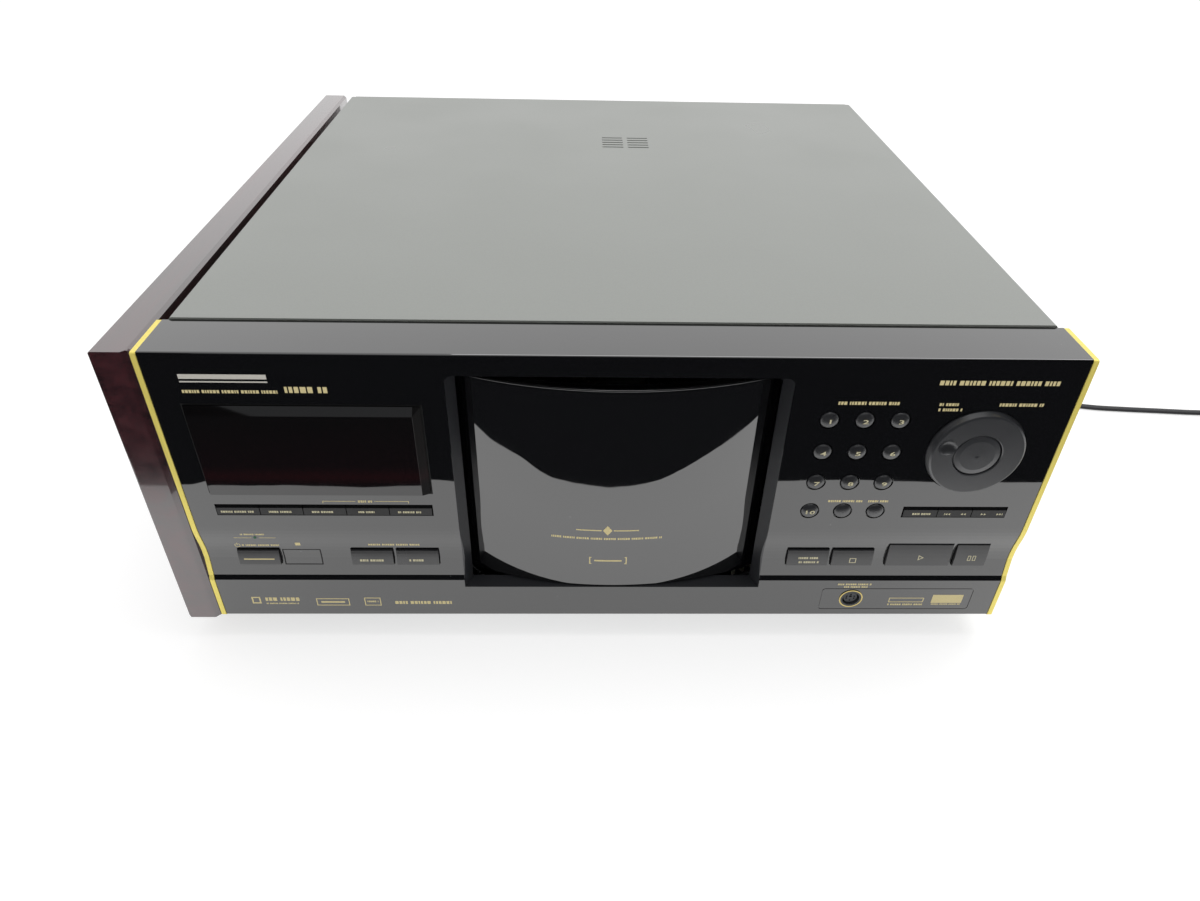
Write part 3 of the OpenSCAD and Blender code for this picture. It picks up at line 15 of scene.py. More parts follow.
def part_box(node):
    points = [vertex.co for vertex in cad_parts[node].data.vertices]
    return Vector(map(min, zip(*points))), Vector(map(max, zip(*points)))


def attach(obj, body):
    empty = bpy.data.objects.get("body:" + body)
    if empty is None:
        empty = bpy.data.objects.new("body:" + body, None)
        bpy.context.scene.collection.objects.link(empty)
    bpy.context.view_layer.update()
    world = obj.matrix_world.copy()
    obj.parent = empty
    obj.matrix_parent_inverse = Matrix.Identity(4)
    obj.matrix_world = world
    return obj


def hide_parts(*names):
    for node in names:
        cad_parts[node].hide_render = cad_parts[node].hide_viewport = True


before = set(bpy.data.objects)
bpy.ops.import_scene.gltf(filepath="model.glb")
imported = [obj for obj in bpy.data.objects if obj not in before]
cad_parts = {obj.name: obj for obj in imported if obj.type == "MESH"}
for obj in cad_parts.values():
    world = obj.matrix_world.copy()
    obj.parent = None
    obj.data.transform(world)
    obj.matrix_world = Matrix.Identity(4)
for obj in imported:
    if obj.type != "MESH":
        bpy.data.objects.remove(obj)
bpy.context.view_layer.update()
MM = 0.001
print("parts in the frame:", len(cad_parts))

# %% [markdown]
# ## Where things are on the front
# All the printing and the small trim is placed from the front panel: its middle, its flat face
# and its lower edge. `on_front` turns millimetres counted from there into the frame's metres.

# %% Places on the front panel
panel_low, panel_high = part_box("front_panel")
panel_mid_x = (panel_low.x + panel_high.x) / 2
panel_face_y = panel_low.y
panel_foot_z = panel_low.z


def on_front(x, depth, z):
    """A point x mm right of the panel's middle, depth mm behind its face, z mm above its foot."""
    return Vector((panel_mid_x + x * MM, panel_face_y + depth * MM, panel_foot_z + z * MM))


print("panel face at y", round(panel_face_y, 4), "foot at z", round(panel_foot_z, 4))

# %% [markdown]
# ## Camera
# The object is seen from in front and above with a wide lens, close by, so its sides lean. The
# place and the three turns are real measures: a lens of about 25 mm on a 36 mm sensor. A camera
# looks along its own -Z, so it is first laid to look along +Y and then gets its three turns.

# %% Camera
sensor_mm = 36
focal_mm = 25.421
near_clip = 0.01
pitch, roll, yaw = -0.639, -0.020, -0.018
stand = on_front(-19.033, -321.528, 352.024)
camera_data = bpy.data.cameras.new("view_camera")
camera_data.sensor_width = sensor_mm
camera_data.sensor_fit = "HORIZONTAL"
camera_data.lens = focal_mm
camera_data.clip_start = near_clip
camera = bpy.data.objects.new("view_camera", camera_data)
bpy.context.collection.objects.link(camera)
look_along_y = Matrix.Rotation(math.radians(90), 4, "X")
turn = (Matrix.Rotation(yaw, 4, "Z") @ Matrix.Rotation(roll, 4, "Y")
        @ Matrix.Rotation(pitch, 4, "X"))
camera.matrix_world = Matrix.Translation(stand) @ turn @ look_along_y
bpy.context.scene.camera = camera
print("camera at", [round(v, 3) for v in stand], "with a lens of", focal_mm, "mm")

# %% [markdown]
# ## Mains cord
# A flat twin cord, 5.4 mm wide, comes out of the strain relief, sinks to the floor and runs round
# the right side of the case. About 1.6 m of its 1.93 m are put away in a neat round coil with the
# plug beside it. A free cord has to follow its own centreline, so the route is a list of points
# chosen one by one. The cord's sizes are in millimetres until its skin is made.

# %% Cord sizes and route
cord_w = 5.4
cord_t = 3.4
lift = cord_t / 2
exit_height = 48
relief_low, relief_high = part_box("strain_relief")
cord_exit = Vector(((relief_low.x + relief_high.x) / 2, relief_high.y, exit_height * MM)) / MM
sinking = ((0, 0, 0), (0, 12, 0), (1, 28, -5), (3, 46, -20), (6, 62, 10 - cord_exit.z))
on_floor = ((194, 316), (206, 342), (236, 360), (276, 352), (312, 320), (333, 270), (336, 210),
            (332, 150), (332, 98), (346, 56), (372, 33), (398, 25), (425, 22), (452, 20),
            (480, 18), (504, 18))
route = ([cord_exit + Vector(step) for step in sinking]
         + [Vector((x, y, lift)) for x, y in on_floor])
print("exit", [round(v, 1) for v in cord_exit], "and", len(route), "points")

# %% [markdown]
# A curve through the points takes out their corners. Catmull-Rom is chosen because it passes
# through every point that it is given, so the cord goes exactly where the list says.

# %% A smooth curve through the route
route_steps = 6


def smooth(points, steps):
    """Points on a Catmull-Rom curve through all of the given points."""
    ends = [2 * points[0] - points[1]] + points + [2 * points[-1] - points[-2]]
    line = []
    for i in range(len(points) - 1):
        a, b, c, d = ends[i:i + 4]
        for s in range(steps):
            t = s / steps
            line.append(0.5 * (2 * b + t * (c - a) + t * t * (2 * a - 5 * b + 4 * c - d)
                               + t ** 3 * (3 * b - a - 3 * c + d)))
    return line + [points[-1]]


print("steps between two points of the route:", route_steps)

# %% [markdown]
# The coil is wound as by hand: three turns side by side and three more on top of them. Each
# turn is a circle that moves over to the next turn's radius in its last part, so two turns
# never cross. The end comes off the outer turn and drops to the plug.

# %% The coil's turns
coil_low, coil_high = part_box("cord_coil")
coil_mid = (coil_low + coil_high) / 2 / MM
coil_r = 30
coil_cols = 3
coil_rows = 2
turn_points = 24
cross_from = 0.6
outer_r = coil_r + (coil_cols - 1) * cord_w / 2
top_z = lift + (coil_rows - 1) * cord_t


def coil_point(radius, part, z):
    """The point after this part of a turn, clockwise from the side away from the panel."""
    angle = math.radians(90) - 2 * math.pi * part
    return Vector((coil_mid.x + radius * math.cos(angle),
                   coil_mid.y + radius * math.sin(angle), z))


turns = []
for row in range(coil_rows):
    radii = [outer_r - col * cord_w for col in range(coil_cols)]
    if row % 2:
        radii.reverse()
    turns += [(radius, lift + row * cord_t) for radius in radii]
coil = []
for (r, z), (after_r, after_z) in zip(turns, turns[1:] + turns[-1:]):
    for step in range(turn_points):
        part = step / turn_points
        ease = max(0, (part - cross_from) / (1 - cross_from))
        coil.append(coil_point(r + (after_r - r) * ease, part, z + (after_z - z) * ease))
coil += [coil_point(outer_r, step / turn_points, top_z) for step in range(turn_points // 4)]
print("coil at", [round(v, 1) for v in coil_mid], "with", len(turns), "turns")

# %% [markdown]
# Route, coil and the last bit to the plug are put end to end. The curve may dip a little where
# the cord lands, so no point is left lower than half the cord's thickness.

# %% The whole centreline
to_plug = ((0, top_z), (6, top_z), (12, top_z), (16, top_z - 0.5), (20, top_z - 1.5),
           (24, lift + 0.8), (27, lift + 0.2), (30.5, lift))
tail = [Vector((coil_mid.x + outer_r, coil_mid.y - away, z)) for away, z in to_plug]
centreline = smooth(route + coil[:1], route_steps)[:-1] + coil + tail
for point in centreline:
    point.z = max(point.z, lift)

# %% [markdown]
# The skin is a ring of twelve vertices at each point of the centreline, joined ring to ring. Its
# section is an oval with a slight waist, as two wires under one mantle leave it. A cord like
# this lies flat and doesn't twist, so each ring takes its side from the level.

# %% The cord's skin
ring_points = 12
waist_depth = 0.12
waist_power = 6


def as_object(name, bm, round_walls=False):
    """Makes the bmesh an object; round walls are shaded smooth and their end caps stay flat."""
    mesh = bpy.data.meshes.new(name)
    bm.to_mesh(mesh)
    bm.free()
    if round_walls:
        for face in mesh.polygons:
            face.use_smooth = len(face.vertices) == 4
    made = bpy.data.objects.new(name, mesh)
    bpy.context.collection.objects.link(made)
    return made


def cord_skin(line):
    """A flat twin-lobed tube along the line, one ring of vertices at each of its points."""
    bm = bmesh.new()
    rings = []
    for i, point in enumerate(line):
        along = (line[min(i + 1, len(line) - 1)] - line[max(i - 1, 0)]).normalized()
        side = along.cross(Vector((0, 0, 1))).normalized()
        up = side.cross(along)
        ring = []
        for k in range(ring_points):
            a = 2 * math.pi * (k + 0.5) / ring_points
            waist = 1 - waist_depth * abs(math.sin(a)) ** waist_power
            offset = side * (cord_w / 2 * math.cos(a)) + up * (cord_t / 2 * math.sin(a) * waist)
            ring.append(bm.verts.new((point + offset) * MM))
        rings.append(ring)
    bm.faces.new(rings[0])
    for a, b in zip(rings, rings[1:]):
        for k in range(ring_points):
            n = (k + 1) % ring_points
            bm.faces.new((a[k], b[k], b[n], a[n]))
    bm.faces.new(list(reversed(rings[-1])))
    bmesh.ops.recalc_face_normals(bm, faces=bm.faces)
    return bm


mains_lead = as_object("mains_lead", cord_skin(centreline), round_walls=True)
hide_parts("mains_cord", "cord_coil")
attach(mains_lead, "case")
print("cord skin:", len(mains_lead.data.polygons), "faces")

# %% [markdown]
# ## Floor, light and background
# Product light: a plain white room, one big soft lamp overhead, and a white floor. A gloss
# black front only looks like gloss because something white is mirrored in it. Here that is the
# strip of floor before the player; further out the floor is kept dark for mirror rays, as a
# studio does with a black card, so the upper half of the front stays black.
#
# Four helpers come first. Colours are written as sRGB hex values, the way a colour picker shows
# them, and `linear` turns them into the numbers that shaders take. `add` makes any node.

# %% Node and colour helpers
def linear(hex_colour):
    """Turns an sRGB colour such as #c8a45a into the linear numbers that shaders take."""
    parts = [int(hex_colour[i:i + 2], 16) / 255 for i in (1, 3, 5)]
    return [p / 12.92 if p <= 0.04045 else ((p + 0.055) / 1.055) ** 2.4 for p in parts] + [1]


def fill(tree, node, sockets):
    """Gives each named input its value, or a link where the value is another node's socket."""
    for name, value in sockets.items():
        if isinstance(value, bpy.types.NodeSocket):
            tree.links.new(value, node.inputs[name])
        else:
            node.inputs[name].default_value = value


def add(tree, kind, sockets=None, **settings):
    """Adds a node, sets its settings, and fills or links its input sockets."""
    made = tree.nodes.new(kind)
    for name, value in settings.items():
        setattr(made, name, value)
    fill(tree, made, sockets or {})
    return made


def new_material(name):
    """An empty material and its node tree."""
    material = bpy.data.materials.new(name)
    material.use_nodes = True
    material.node_tree.nodes.clear()
    return material, material.node_tree


print("middle grey #808080 is", round(linear("#808080")[0], 3), "in linear light")

# %% [markdown]
# The floor is one large flat sheet. It belongs to the stage, so the object is measured and
# exported without it.

# %% A sheet for the floor
bpy.context.scene.view_settings.view_transform = "Standard"
floor_half = 6
bm = bmesh.new()
bmesh.ops.create_grid(bm, x_segments=1, y_segments=1, size=floor_half)
floor = as_object("floor", bm)
print("floor", 2 * floor_half, "m square")

# %% [markdown]
# The dark card's edge is a line on the floor, 13 cm before the panel. It wavers by a few
# millimetres, as the edge of real paper does, and it bends by 6 or 7 mm at three places, so
# that its mirror image runs on over the display lens and the right end of the panel. Each bend
# has its start, its end and its shift, in metres, counted from the panel's middle.

# %% Edge of the dark card
card_away = 0.1315
waver = 0.006
wavers_per_m = 18.0
bends = ((-0.06, -0.13, 0.0062), (-0.268, -0.284, -0.0062), (0.03, 0.13, 0.0072))
paper, tree = new_material("white_paper_sweep")
place = add(tree, "ShaderNodeTexCoord").outputs["Object"]
waves = add(tree, "ShaderNodeTexNoise", {"Vector": place, "Scale": wavers_per_m})
xyz = add(tree, "ShaderNodeSeparateXYZ", {"Vector": place})
edge = add(tree, "ShaderNodeMath",
           {0: waves.outputs["Fac"], 1: waver, 2: xyz.outputs["Y"]}, operation="MULTIPLY_ADD")
for start, end, shift in bends:
    bend = add(tree, "ShaderNodeMapRange",
               {"Value": xyz.outputs["X"], "From Min": panel_mid_x + start,
                "From Max": panel_mid_x + end, "To Max": shift}, interpolation_type="SMOOTHSTEP")
    edge = add(tree, "ShaderNodeMath", {0: edge.outputs[0], 1: bend.outputs["Result"]},
               operation="ADD")
beyond = add(tree, "ShaderNodeMath",
             {0: edge.outputs[0], 1: panel_face_y - card_away}, operation="LESS_THAN")
print("dark card from y", round(panel_face_y - card_away, 4))

# %% [markdown]
# The paper has three faces. It lights the object as plain white paper. The camera and the
# mirrors see it lifted with a little light of its own, which keeps the object's shadow but
# brings the rest to white. Mirror rays that land beyond the edge see the dark card.

# %% The paper's shader
paper_glow = 0.6
ray = add(tree, "ShaderNodeLightPath")
dark = add(tree, "ShaderNodeMath", {0: beyond.outputs[0], 1: ray.outputs["Is Glossy Ray"]},
           operation="MULTIPLY")
white = add(tree, "ShaderNodeBsdfDiffuse", {"Color": linear("#f4f4f4")})
shadowed = add(tree, "ShaderNodeBsdfDiffuse", {"Color": linear("#bcbcbc")})
lifted = add(tree, "ShaderNodeEmission", {"Color": linear("#ffffff"), "Strength": paper_glow})
bright = add(tree, "ShaderNodeAddShader",
             {0: shadowed.outputs["BSDF"], 1: lifted.outputs["Emission"]})
seen = add(tree, "ShaderNodeMath",
           {0: ray.outputs["Is Camera Ray"], 1: ray.outputs["Is Glossy Ray"]},
           operation="MAXIMUM")
paper_seen = add(tree, "ShaderNodeMixShader",
                 {"Fac": seen.outputs[0], 1: white.outputs["BSDF"], 2: bright.outputs["Shader"]})
black = add(tree, "ShaderNodeEmission", {"Color": linear("#2c2d30"), "Strength": 1.0})
mixed = add(tree, "ShaderNodeMixShader",
            {"Fac": dark.outputs[0], 1: paper_seen.outputs["Shader"],
             2: black.outputs["Emission"]})
add(tree, "ShaderNodeOutputMaterial", {"Surface": mixed.outputs["Shader"]})
floor.data.materials.append(paper)
print("floor shader:", len(tree.nodes), "nodes")

# %% [markdown]
# The room is white and lights evenly. For mirror rays a tall dark card stands in front of the
# player and reaches up to where the lamp hangs, with one grey gap across it. In the world's
# nodes the Generated coordinate is the direction of a ray, so its Z says how steeply it climbs.
# The card's two pairs of numbers are where it begins and where it is full.

# %% World
room_light = 0.82
card_top = (0.9, 0.84)
card_front = (-0.1, -0.25)
gap_z = 0.69
gap_half = 0.05
world = bpy.data.worlds.new("white_room")
bpy.context.scene.world = world
world.use_nodes = True
tree = world.node_tree
tree.nodes.clear()
ray = add(tree, "ShaderNodeLightPath")
seen = add(tree, "ShaderNodeMath",
           {0: ray.outputs["Is Camera Ray"], 1: ray.outputs["Is Glossy Ray"]},
           operation="MAXIMUM")
seen = add(tree, "ShaderNodeMath",
           {0: seen.outputs[0], 1: ray.outputs["Is Transmission Ray"]}, operation="MAXIMUM")
direction = add(tree, "ShaderNodeTexCoord").outputs["Generated"]
way = add(tree, "ShaderNodeSeparateXYZ", {"Vector": direction})
low = add(tree, "ShaderNodeMapRange",
          {"Value": way.outputs["Z"], "From Min": card_top[0], "From Max": card_top[1]})
front = add(tree, "ShaderNodeMapRange",
            {"Value": way.outputs["Y"], "From Min": card_front[0], "From Max": card_front[1]})
carded = add(tree, "ShaderNodeMath", {0: low.outputs["Result"], 1: front.outputs["Result"]},
             operation="MULTIPLY")
carded = add(tree, "ShaderNodeMath", {0: carded.outputs[0], 1: ray.outputs["Is Glossy Ray"]},
             operation="MULTIPLY")
gap = add(tree, "ShaderNodeMath", {0: way.outputs["Z"], 1: gap_z, 2: gap_half},
          operation="COMPARE")
card_tint = add(tree, "ShaderNodeMix", {"Factor": gap.outputs[0], "A": linear("#202124"),
                                        "B": linear("#808284")}, data_type="RGBA")
card = add(tree, "ShaderNodeBackground", {"Color": card_tint.outputs["Result"], "Strength": 1.0})
room = add(tree, "ShaderNodeBackground", {"Color": linear("#ffffff"), "Strength": room_light})
shown = add(tree, "ShaderNodeBackground", {"Color": linear("#ffffff"), "Strength": 1.0})
mixed = add(tree, "ShaderNodeMixShader",
            {"Fac": seen.outputs[0], 1: room.outputs[0], 2: shown.outputs[0]})
mixed = add(tree, "ShaderNodeMixShader",
            {"Fac": carded.outputs[0], 1: mixed.outputs[0], 2: card.outputs[0]})
add(tree, "ShaderNodeOutputWorld", {"Surface": mixed.outputs["Shader"]})
print("world:", len(tree.nodes), "nodes, light", room_light)

# %% [markdown]
# One rectangular area lamp hangs above the case, a little to the right and tipped towards it.
# It is large, so the shadow round the feet has no hard edge.

# %% Lamp
lamp_w = 1.3
lamp_d = 0.9
lamp_watts = 10
lamp_place = (0.36, 0.0, 1.5)
lamp_tilt = math.radians(9)
lamp_data = bpy.data.lights.new("overhead_softbox", "AREA")
lamp_data.shape = "RECTANGLE"
lamp_data.size = lamp_w
lamp_data.size_y = lamp_d
lamp_data.energy = lamp_watts
lamp = bpy.data.objects.new("overhead_softbox", lamp_data)
lamp.location = lamp_place
lamp.rotation_euler = (0, lamp_tilt, 0)
bpy.context.collection.objects.link(lamp)
print("lamp", lamp_w, "by", lamp_d, "m,", lamp_watts, "W")

# %% [markdown]
# ## Finishes
# One material for each real finish. `start_finish` begins each of them: Object coordinates, a
# Principled shader and the output. A pattern's scale is one over its real size in metres, and
# most patterns vary between a colour and a deeper tone of it.

# %% Start of a finish
finishes = {}


def start_finish(name):
    """A new material with Object coordinates and a Principled shader wired to the output."""
    material, tree = new_material(name)
    place = add(tree, "ShaderNodeTexCoord").outputs["Object"]
    shader = add(tree, "ShaderNodeBsdfPrincipled")
    add(tree, "ShaderNodeOutputMaterial", {"Surface": shader.outputs["BSDF"]})
    finishes[name] = material
    print("finish", name)
    return tree, place, shader


def size_scale(mm):
    """The texture scale at which one feature is this many millimetres wide."""
    return 1 / (mm * MM)


def two_tones(tree, pattern, colour, darkest):
    """The colour where the pattern is 1, and this share of its light where the pattern is 0."""
    deep = [c * darkest for c in linear(colour)[:3]] + [1]
    return add(tree, "ShaderNodeMix", {"Factor": pattern, "A": deep, "B": linear(colour)},
               data_type="RGBA").outputs["Result"]


print("a grain of 0.5 mm has the scale", size_scale(0.5))

# %% [markdown]
# **Lacquered edges.** Polishing changes how a curved or bevelled face mirrors: it can look
# flatter, or its edge crisper, than the shape under it. That is a matter of the normal that the
# shader works with, so its sideways part is scaled down and the mesh stays as it is.

# %% Gentler or crisper edges
def eased_normal(tree, keep):
    """The surface's own normal with this share of its sideways part left."""
    facing = add(tree, "ShaderNodeTexCoord").outputs["Normal"]
    eased = add(tree, "ShaderNodeVectorMath", {0: facing, 1: (keep, 1, 1)},
                operation="MULTIPLY")
    unit = add(tree, "ShaderNodeVectorMath", {0: eased.outputs[0]}, operation="NORMALIZE")
    turned = add(tree, "ShaderNodeVectorTransform", {"Vector": unit.outputs[0]},
                 vector_type="NORMAL", convert_from="OBJECT", convert_to="WORLD")
    return turned.outputs["Vector"]


# %% [markdown]
# **Piano black.** The front and the door are moulded ABS, sprayed black and clear-lacquered, so
# two layers mirror: a coat over a glossy base. Lacquer is never quite flat, hence a shallow
# 26 mm wave that bends reflections, and dust lies on it in sparse specks of up to 0.5 mm. A
# speck is the middle of a Voronoi cell, and only every sixth cell or so has one.

# %% Dust
dust_spacing = 7
dust_reach = 0.034
dust_share = 0.16
dust_cover = 0.55


def dust(tree, place):
    """How much dust covers each point: none, or the cover in a few small round specks."""
    cells = add(tree, "ShaderNodeTexVoronoi",
                {"Vector": place, "Scale": size_scale(dust_spacing)})
    dot = add(tree, "ShaderNodeMath", {0: cells.outputs["Distance"], 1: dust_reach},
              operation="LESS_THAN")
    few = add(tree, "ShaderNodeSeparateColor", {"Color": cells.outputs["Color"]})
    pick = add(tree, "ShaderNodeMath", {0: few.outputs["Red"], 1: dust_share},
               operation="LESS_THAN")
    specks = add(tree, "ShaderNodeMath", {0: dot.outputs[0], 1: pick.outputs[0]},
                 operation="MULTIPLY")
    return add(tree, "ShaderNodeMath", {0: specks.outputs[0], 1: dust_cover},
               operation="MULTIPLY").outputs[0]


print("specks of", round(2 * dust_reach * dust_spacing, 2), "mm")

# %% [markdown]
# The front has a lining: the window's jambs, lintel and sill are left satin from the mould,
# because a spray gun hardly reaches them. A box round the window, behind the flat face, marks
# them.

# %% The window's lining
window_half_w = 78.8
window_mid_z = 87.7
window_half_h = 66
lining_from = 0.3


def in_window(tree, place):
    """1 on the window's jambs, lintel and sill, and 0 elsewhere on the panel."""
    xyz = add(tree, "ShaderNodeSeparateXYZ", {"Vector": place})
    off = add(tree, "ShaderNodeMath", {0: xyz.outputs["X"], 1: panel_mid_x},
              operation="SUBTRACT")
    wide = add(tree, "ShaderNodeMath", {0: off.outputs[0]}, operation="ABSOLUTE")
    across = add(tree, "ShaderNodeMath", {0: wide.outputs[0], 1: window_half_w * MM},
                 operation="LESS_THAN")
    up = add(tree, "ShaderNodeMath",
             {0: xyz.outputs["Z"], 1: panel_foot_z + window_mid_z * MM}, operation="SUBTRACT")
    high = add(tree, "ShaderNodeMath", {0: up.outputs[0]}, operation="ABSOLUTE")
    between = add(tree, "ShaderNodeMath", {0: high.outputs[0], 1: window_half_h * MM},
                  operation="LESS_THAN")
    deep = add(tree, "ShaderNodeMath",
               {0: xyz.outputs["Y"], 1: panel_face_y + lining_from * MM},
               operation="GREATER_THAN")
    both = add(tree, "ShaderNodeMath", {0: across.outputs[0], 1: between.outputs[0]},
               operation="MULTIPLY")
    return add(tree, "ShaderNodeMath", {0: both.outputs[0], 1: deep.outputs[0]},
               operation="MULTIPLY").outputs[0]


print("lining within", 2 * window_half_w, "by", 2 * window_half_h, "mm")

# %% [markdown]
# The lacquer itself: a coat over the gloss base, both bent by the wave. Handling leaves a
# smudge here and there, so the base's roughness follows a broad noise. The door has the same
# lacquer as the front, a little deeper in shine, and mirrors with a gentler curve.

# %% Piano black lacquer
smudge_size = 38
wave_size = 26
wave_depth = 0.022
satin_rough = 0.34


def gloss_lacquer(name, colour, ior, lining=None, curve_kept=None):
    """Gloss black under clear lacquer, with a satin lining or a gentler curve if asked for."""
    tree, place, shader = start_finish(name)
    smudge = add(tree, "ShaderNodeTexNoise",
                 {"Vector": place, "Scale": size_scale(smudge_size), "Detail": 3.0})
    rough = add(tree, "ShaderNodeMapRange",
                {"Value": smudge.outputs["Fac"], "From Min": 0.35, "From Max": 0.75,
                 "To Min": 0.012, "To Max": 0.05}).outputs["Result"]
    wave = add(tree, "ShaderNodeTexNoise",
               {"Vector": place, "Scale": size_scale(wave_size), "Detail": 1.0})
    bump = add(tree, "ShaderNodeBump",
               {"Height": wave.outputs["Fac"], "Distance": wave_depth * MM, "Strength": 1.0})
    if curve_kept:
        fill(tree, bump, {"Normal": eased_normal(tree, curve_kept)})
    tint = add(tree, "ShaderNodeMix", {"Factor": dust(tree, place), "A": linear(colour),
                                       "B": linear("#8d8f8e")}, data_type="RGBA")
    tint, coat = tint.outputs["Result"], 1.0
    if lining:
        inside = lining(tree, place)
        tint = add(tree, "ShaderNodeMix", {"Factor": inside, "A": tint, "B": linear("#26272a")},
                   data_type="RGBA").outputs["Result"]
        rough = add(tree, "ShaderNodeMix",
                    {"Factor": inside, "A": rough, "B": satin_rough}).outputs["Result"]
        coat = add(tree, "ShaderNodeMath", {0: 1.0, 1: inside}, operation="SUBTRACT").outputs[0]
    fill(tree, shader, {"Base Color": tint, "Roughness": rough, "Coat Weight": coat,
                        "Normal": bump.outputs["Normal"], "Coat Normal": bump.outputs["Normal"],
                        "IOR": ior, "Coat IOR": 1.6, "Coat Roughness": 0.015})


gloss_lacquer("piano_black_lacquer", "#050506", ior=1.7, lining=in_window)
gloss_lacquer("door_black_lacquer", "#060607", ior=1.88, curve_kept=0.78)

# %% [markdown]
# **Display lens.** Smoked red acrylic over the display tube: almost black, with the tube's red
# filter just showing as a low band. Height on the part sets the tint. The bevel at its right
# end is a cut edge, so it stays matt and has no coat.

# %% Smoked acrylic
bevel_w = 3.55
lens_low, lens_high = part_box("display_lens")
tree, place, shader = start_finish("smoked_red_acrylic")
xyz = add(tree, "ShaderNodeSeparateXYZ", {"Vector": place})
band = add(tree, "ShaderNodeMapRange",
           {"Value": xyz.outputs["Z"], "From Min": lens_low.z, "From Max": lens_high.z})
filter_tint = add(tree, "ShaderNodeValToRGB", {"Fac": band.outputs["Result"]})
filter_tint.color_ramp.elements[0].color = linear("#070506")
filter_tint.color_ramp.elements[1].color = linear("#060505")
for spot, colour in ((0.14, "#0a0506"), (0.24, "#1b0709"), (0.36, "#0c0506")):
    filter_tint.color_ramp.elements.new(spot).color = linear(colour)
haze = add(tree, "ShaderNodeTexNoise", {"Vector": place, "Scale": size_scale(30), "Detail": 2.0})
polish = add(tree, "ShaderNodeMapRange",
             {"Value": haze.outputs["Fac"], "To Min": 0.01, "To Max": 0.045})
bevel = add(tree, "ShaderNodeMath", {0: xyz.outputs["X"], 1: lens_high.x - bevel_w * MM},
            operation="GREATER_THAN").outputs[0]
matt = add(tree, "ShaderNodeMix", {"Factor": bevel, "A": polish.outputs["Result"], "B": 0.55})
clear = add(tree, "ShaderNodeMapRange", {"Value": bevel, "To Min": 0.6, "To Max": 0.0})
gloss = add(tree, "ShaderNodeMapRange", {"Value": bevel, "To Min": 0.5, "To Max": 0.12})
fill(tree, shader, {"Base Color": filter_tint.outputs["Color"],
                    "Roughness": matt.outputs["Result"], "Coat Weight": clear.outputs["Result"],
                    "Specular IOR Level": gloss.outputs["Result"],
                    "IOR": 1.66, "Coat IOR": 1.5, "Coat Roughness": 0.01})


# %% [markdown]
# **Moulded plastics.** Keys, wheels, frame and feet come out of spark-eroded moulds that leave
# a fine grain. The grain is drawn at 0.5 mm, coarser than it is, so that it shows as a soft
# sheen; a broad, faint noise varies the polish and the tone as handling does. The cord's PVC
# and the feet's rubber are the same recipe with a coarser grain or less shine.

# %% Grained plastic
handled_size = 14
handled_tone = 0.86


def moulded(name, colour, roughness, ior=1.5, grain_mm=0.5, grain_depth=0.012, spread=0.08):
    """Plastic straight from the mould, with grain and a polish that varies by the spread."""
    tree, place, shader = start_finish(name)
    patch = add(tree, "ShaderNodeTexNoise",
                {"Vector": place, "Scale": size_scale(handled_size), "Detail": 3.0}).outputs["Fac"]
    rough = add(tree, "ShaderNodeMapRange",
                {"Value": patch, "From Min": 0.3, "From Max": 0.7,
                 "To Min": roughness - spread / 2, "To Max": roughness + spread / 2})
    grain = add(tree, "ShaderNodeTexNoise",
                {"Vector": place, "Scale": size_scale(grain_mm), "Detail": 2.0})
    bump = add(tree, "ShaderNodeBump",
               {"Height": grain.outputs["Fac"], "Distance": grain_depth * MM, "Strength": 0.6})
    fill(tree, shader, {"Base Color": two_tones(tree, patch, colour, handled_tone),
                        "Roughness": rough.outputs["Result"],
                        "Normal": bump.outputs["Normal"], "IOR": ior})


moulded("satin_black_keys", "#161618", 0.3, ior=1.85)
moulded("satin_black_slim_keys", "#0d0d0e", 0.25)
moulded("satin_grey_round_keys", "#232427", 0.33, ior=1.95)
moulded("satin_black_dial", "#2a2b2e", 0.31, ior=2.0, spread=0.03)
moulded("rubbery_black_feet", "#161617", 0.6)
moulded("grey_abs_frame", "#55575b", 0.45)
moulded("white_acetal_gears", "#dcdacb", 0.35)
moulded("black_abs_rack", "#1b1b1e", 0.4)
moulded("black_pvc_cord", "#242427", 0.5, grain_mm=1.2, grain_depth=0.03)


# %% [markdown]
# ** Painted steel.** The cover is powder-coated: a dark paint with a fine pebble texture that spreads the light of the room into a broad sheen, stronger towards the back where it is seen at a flat angle. Its base colour is a mid grey, far lighter than the dark paint, so it is partly painted sheen. The pebbles are drawn at 0.8 mm, about twice their real size, so that they show. A cloud of 90 mm varies the polish by a little, with soft ends.

# %% Powder-coated steel
pebble_size = 0.8
cloud_size = 90
polish_spread = 0.04


def powder_coat(name, colour, roughness, ior):
    """Paint melted on from powder: fine pebbles and a slowly varying polish."""
    tree, place, shader = start_finish(name)
    pebble = add(tree, "ShaderNodeTexNoise",
                 {"Vector": place, "Scale": size_scale(pebble_size), "Detail": 3.0}).outputs["Fac"]
    cloud = add(tree, "ShaderNodeTexNoise",
                {"Vector": place, "Scale": size_scale(cloud_size), "Detail": 2.0})
    rough = add(tree, "ShaderNodeMapRange",
                {"Value": cloud.outputs["Fac"], "From Min": 0.2, "From Max": 0.8,
                 "To Min": roughness - polish_spread, "To Max": roughness + polish_spread},
                interpolation_type="SMOOTHSTEP")
    bump = add(tree, "ShaderNodeBump",
               {"Height": pebble, "Distance": 0.03 * MM, "Strength": 0.5})
    fill(tree, shader, {"Base Color": two_tones(tree, pebble, colour, 0.8),
                        "Roughness": rough.outputs["Result"],
                        "Normal": bump.outputs["Normal"], "IOR": ior})


# The cover's mid-grey base colour is far lighter than its dark paint: it is partly painted sheen.
powder_coat("sheen_painted_powder_coat", "#81847f", 0.31, 1.95)
powder_coat("black_powder_coat", "#2c2d2e", 0.5, 1.5)


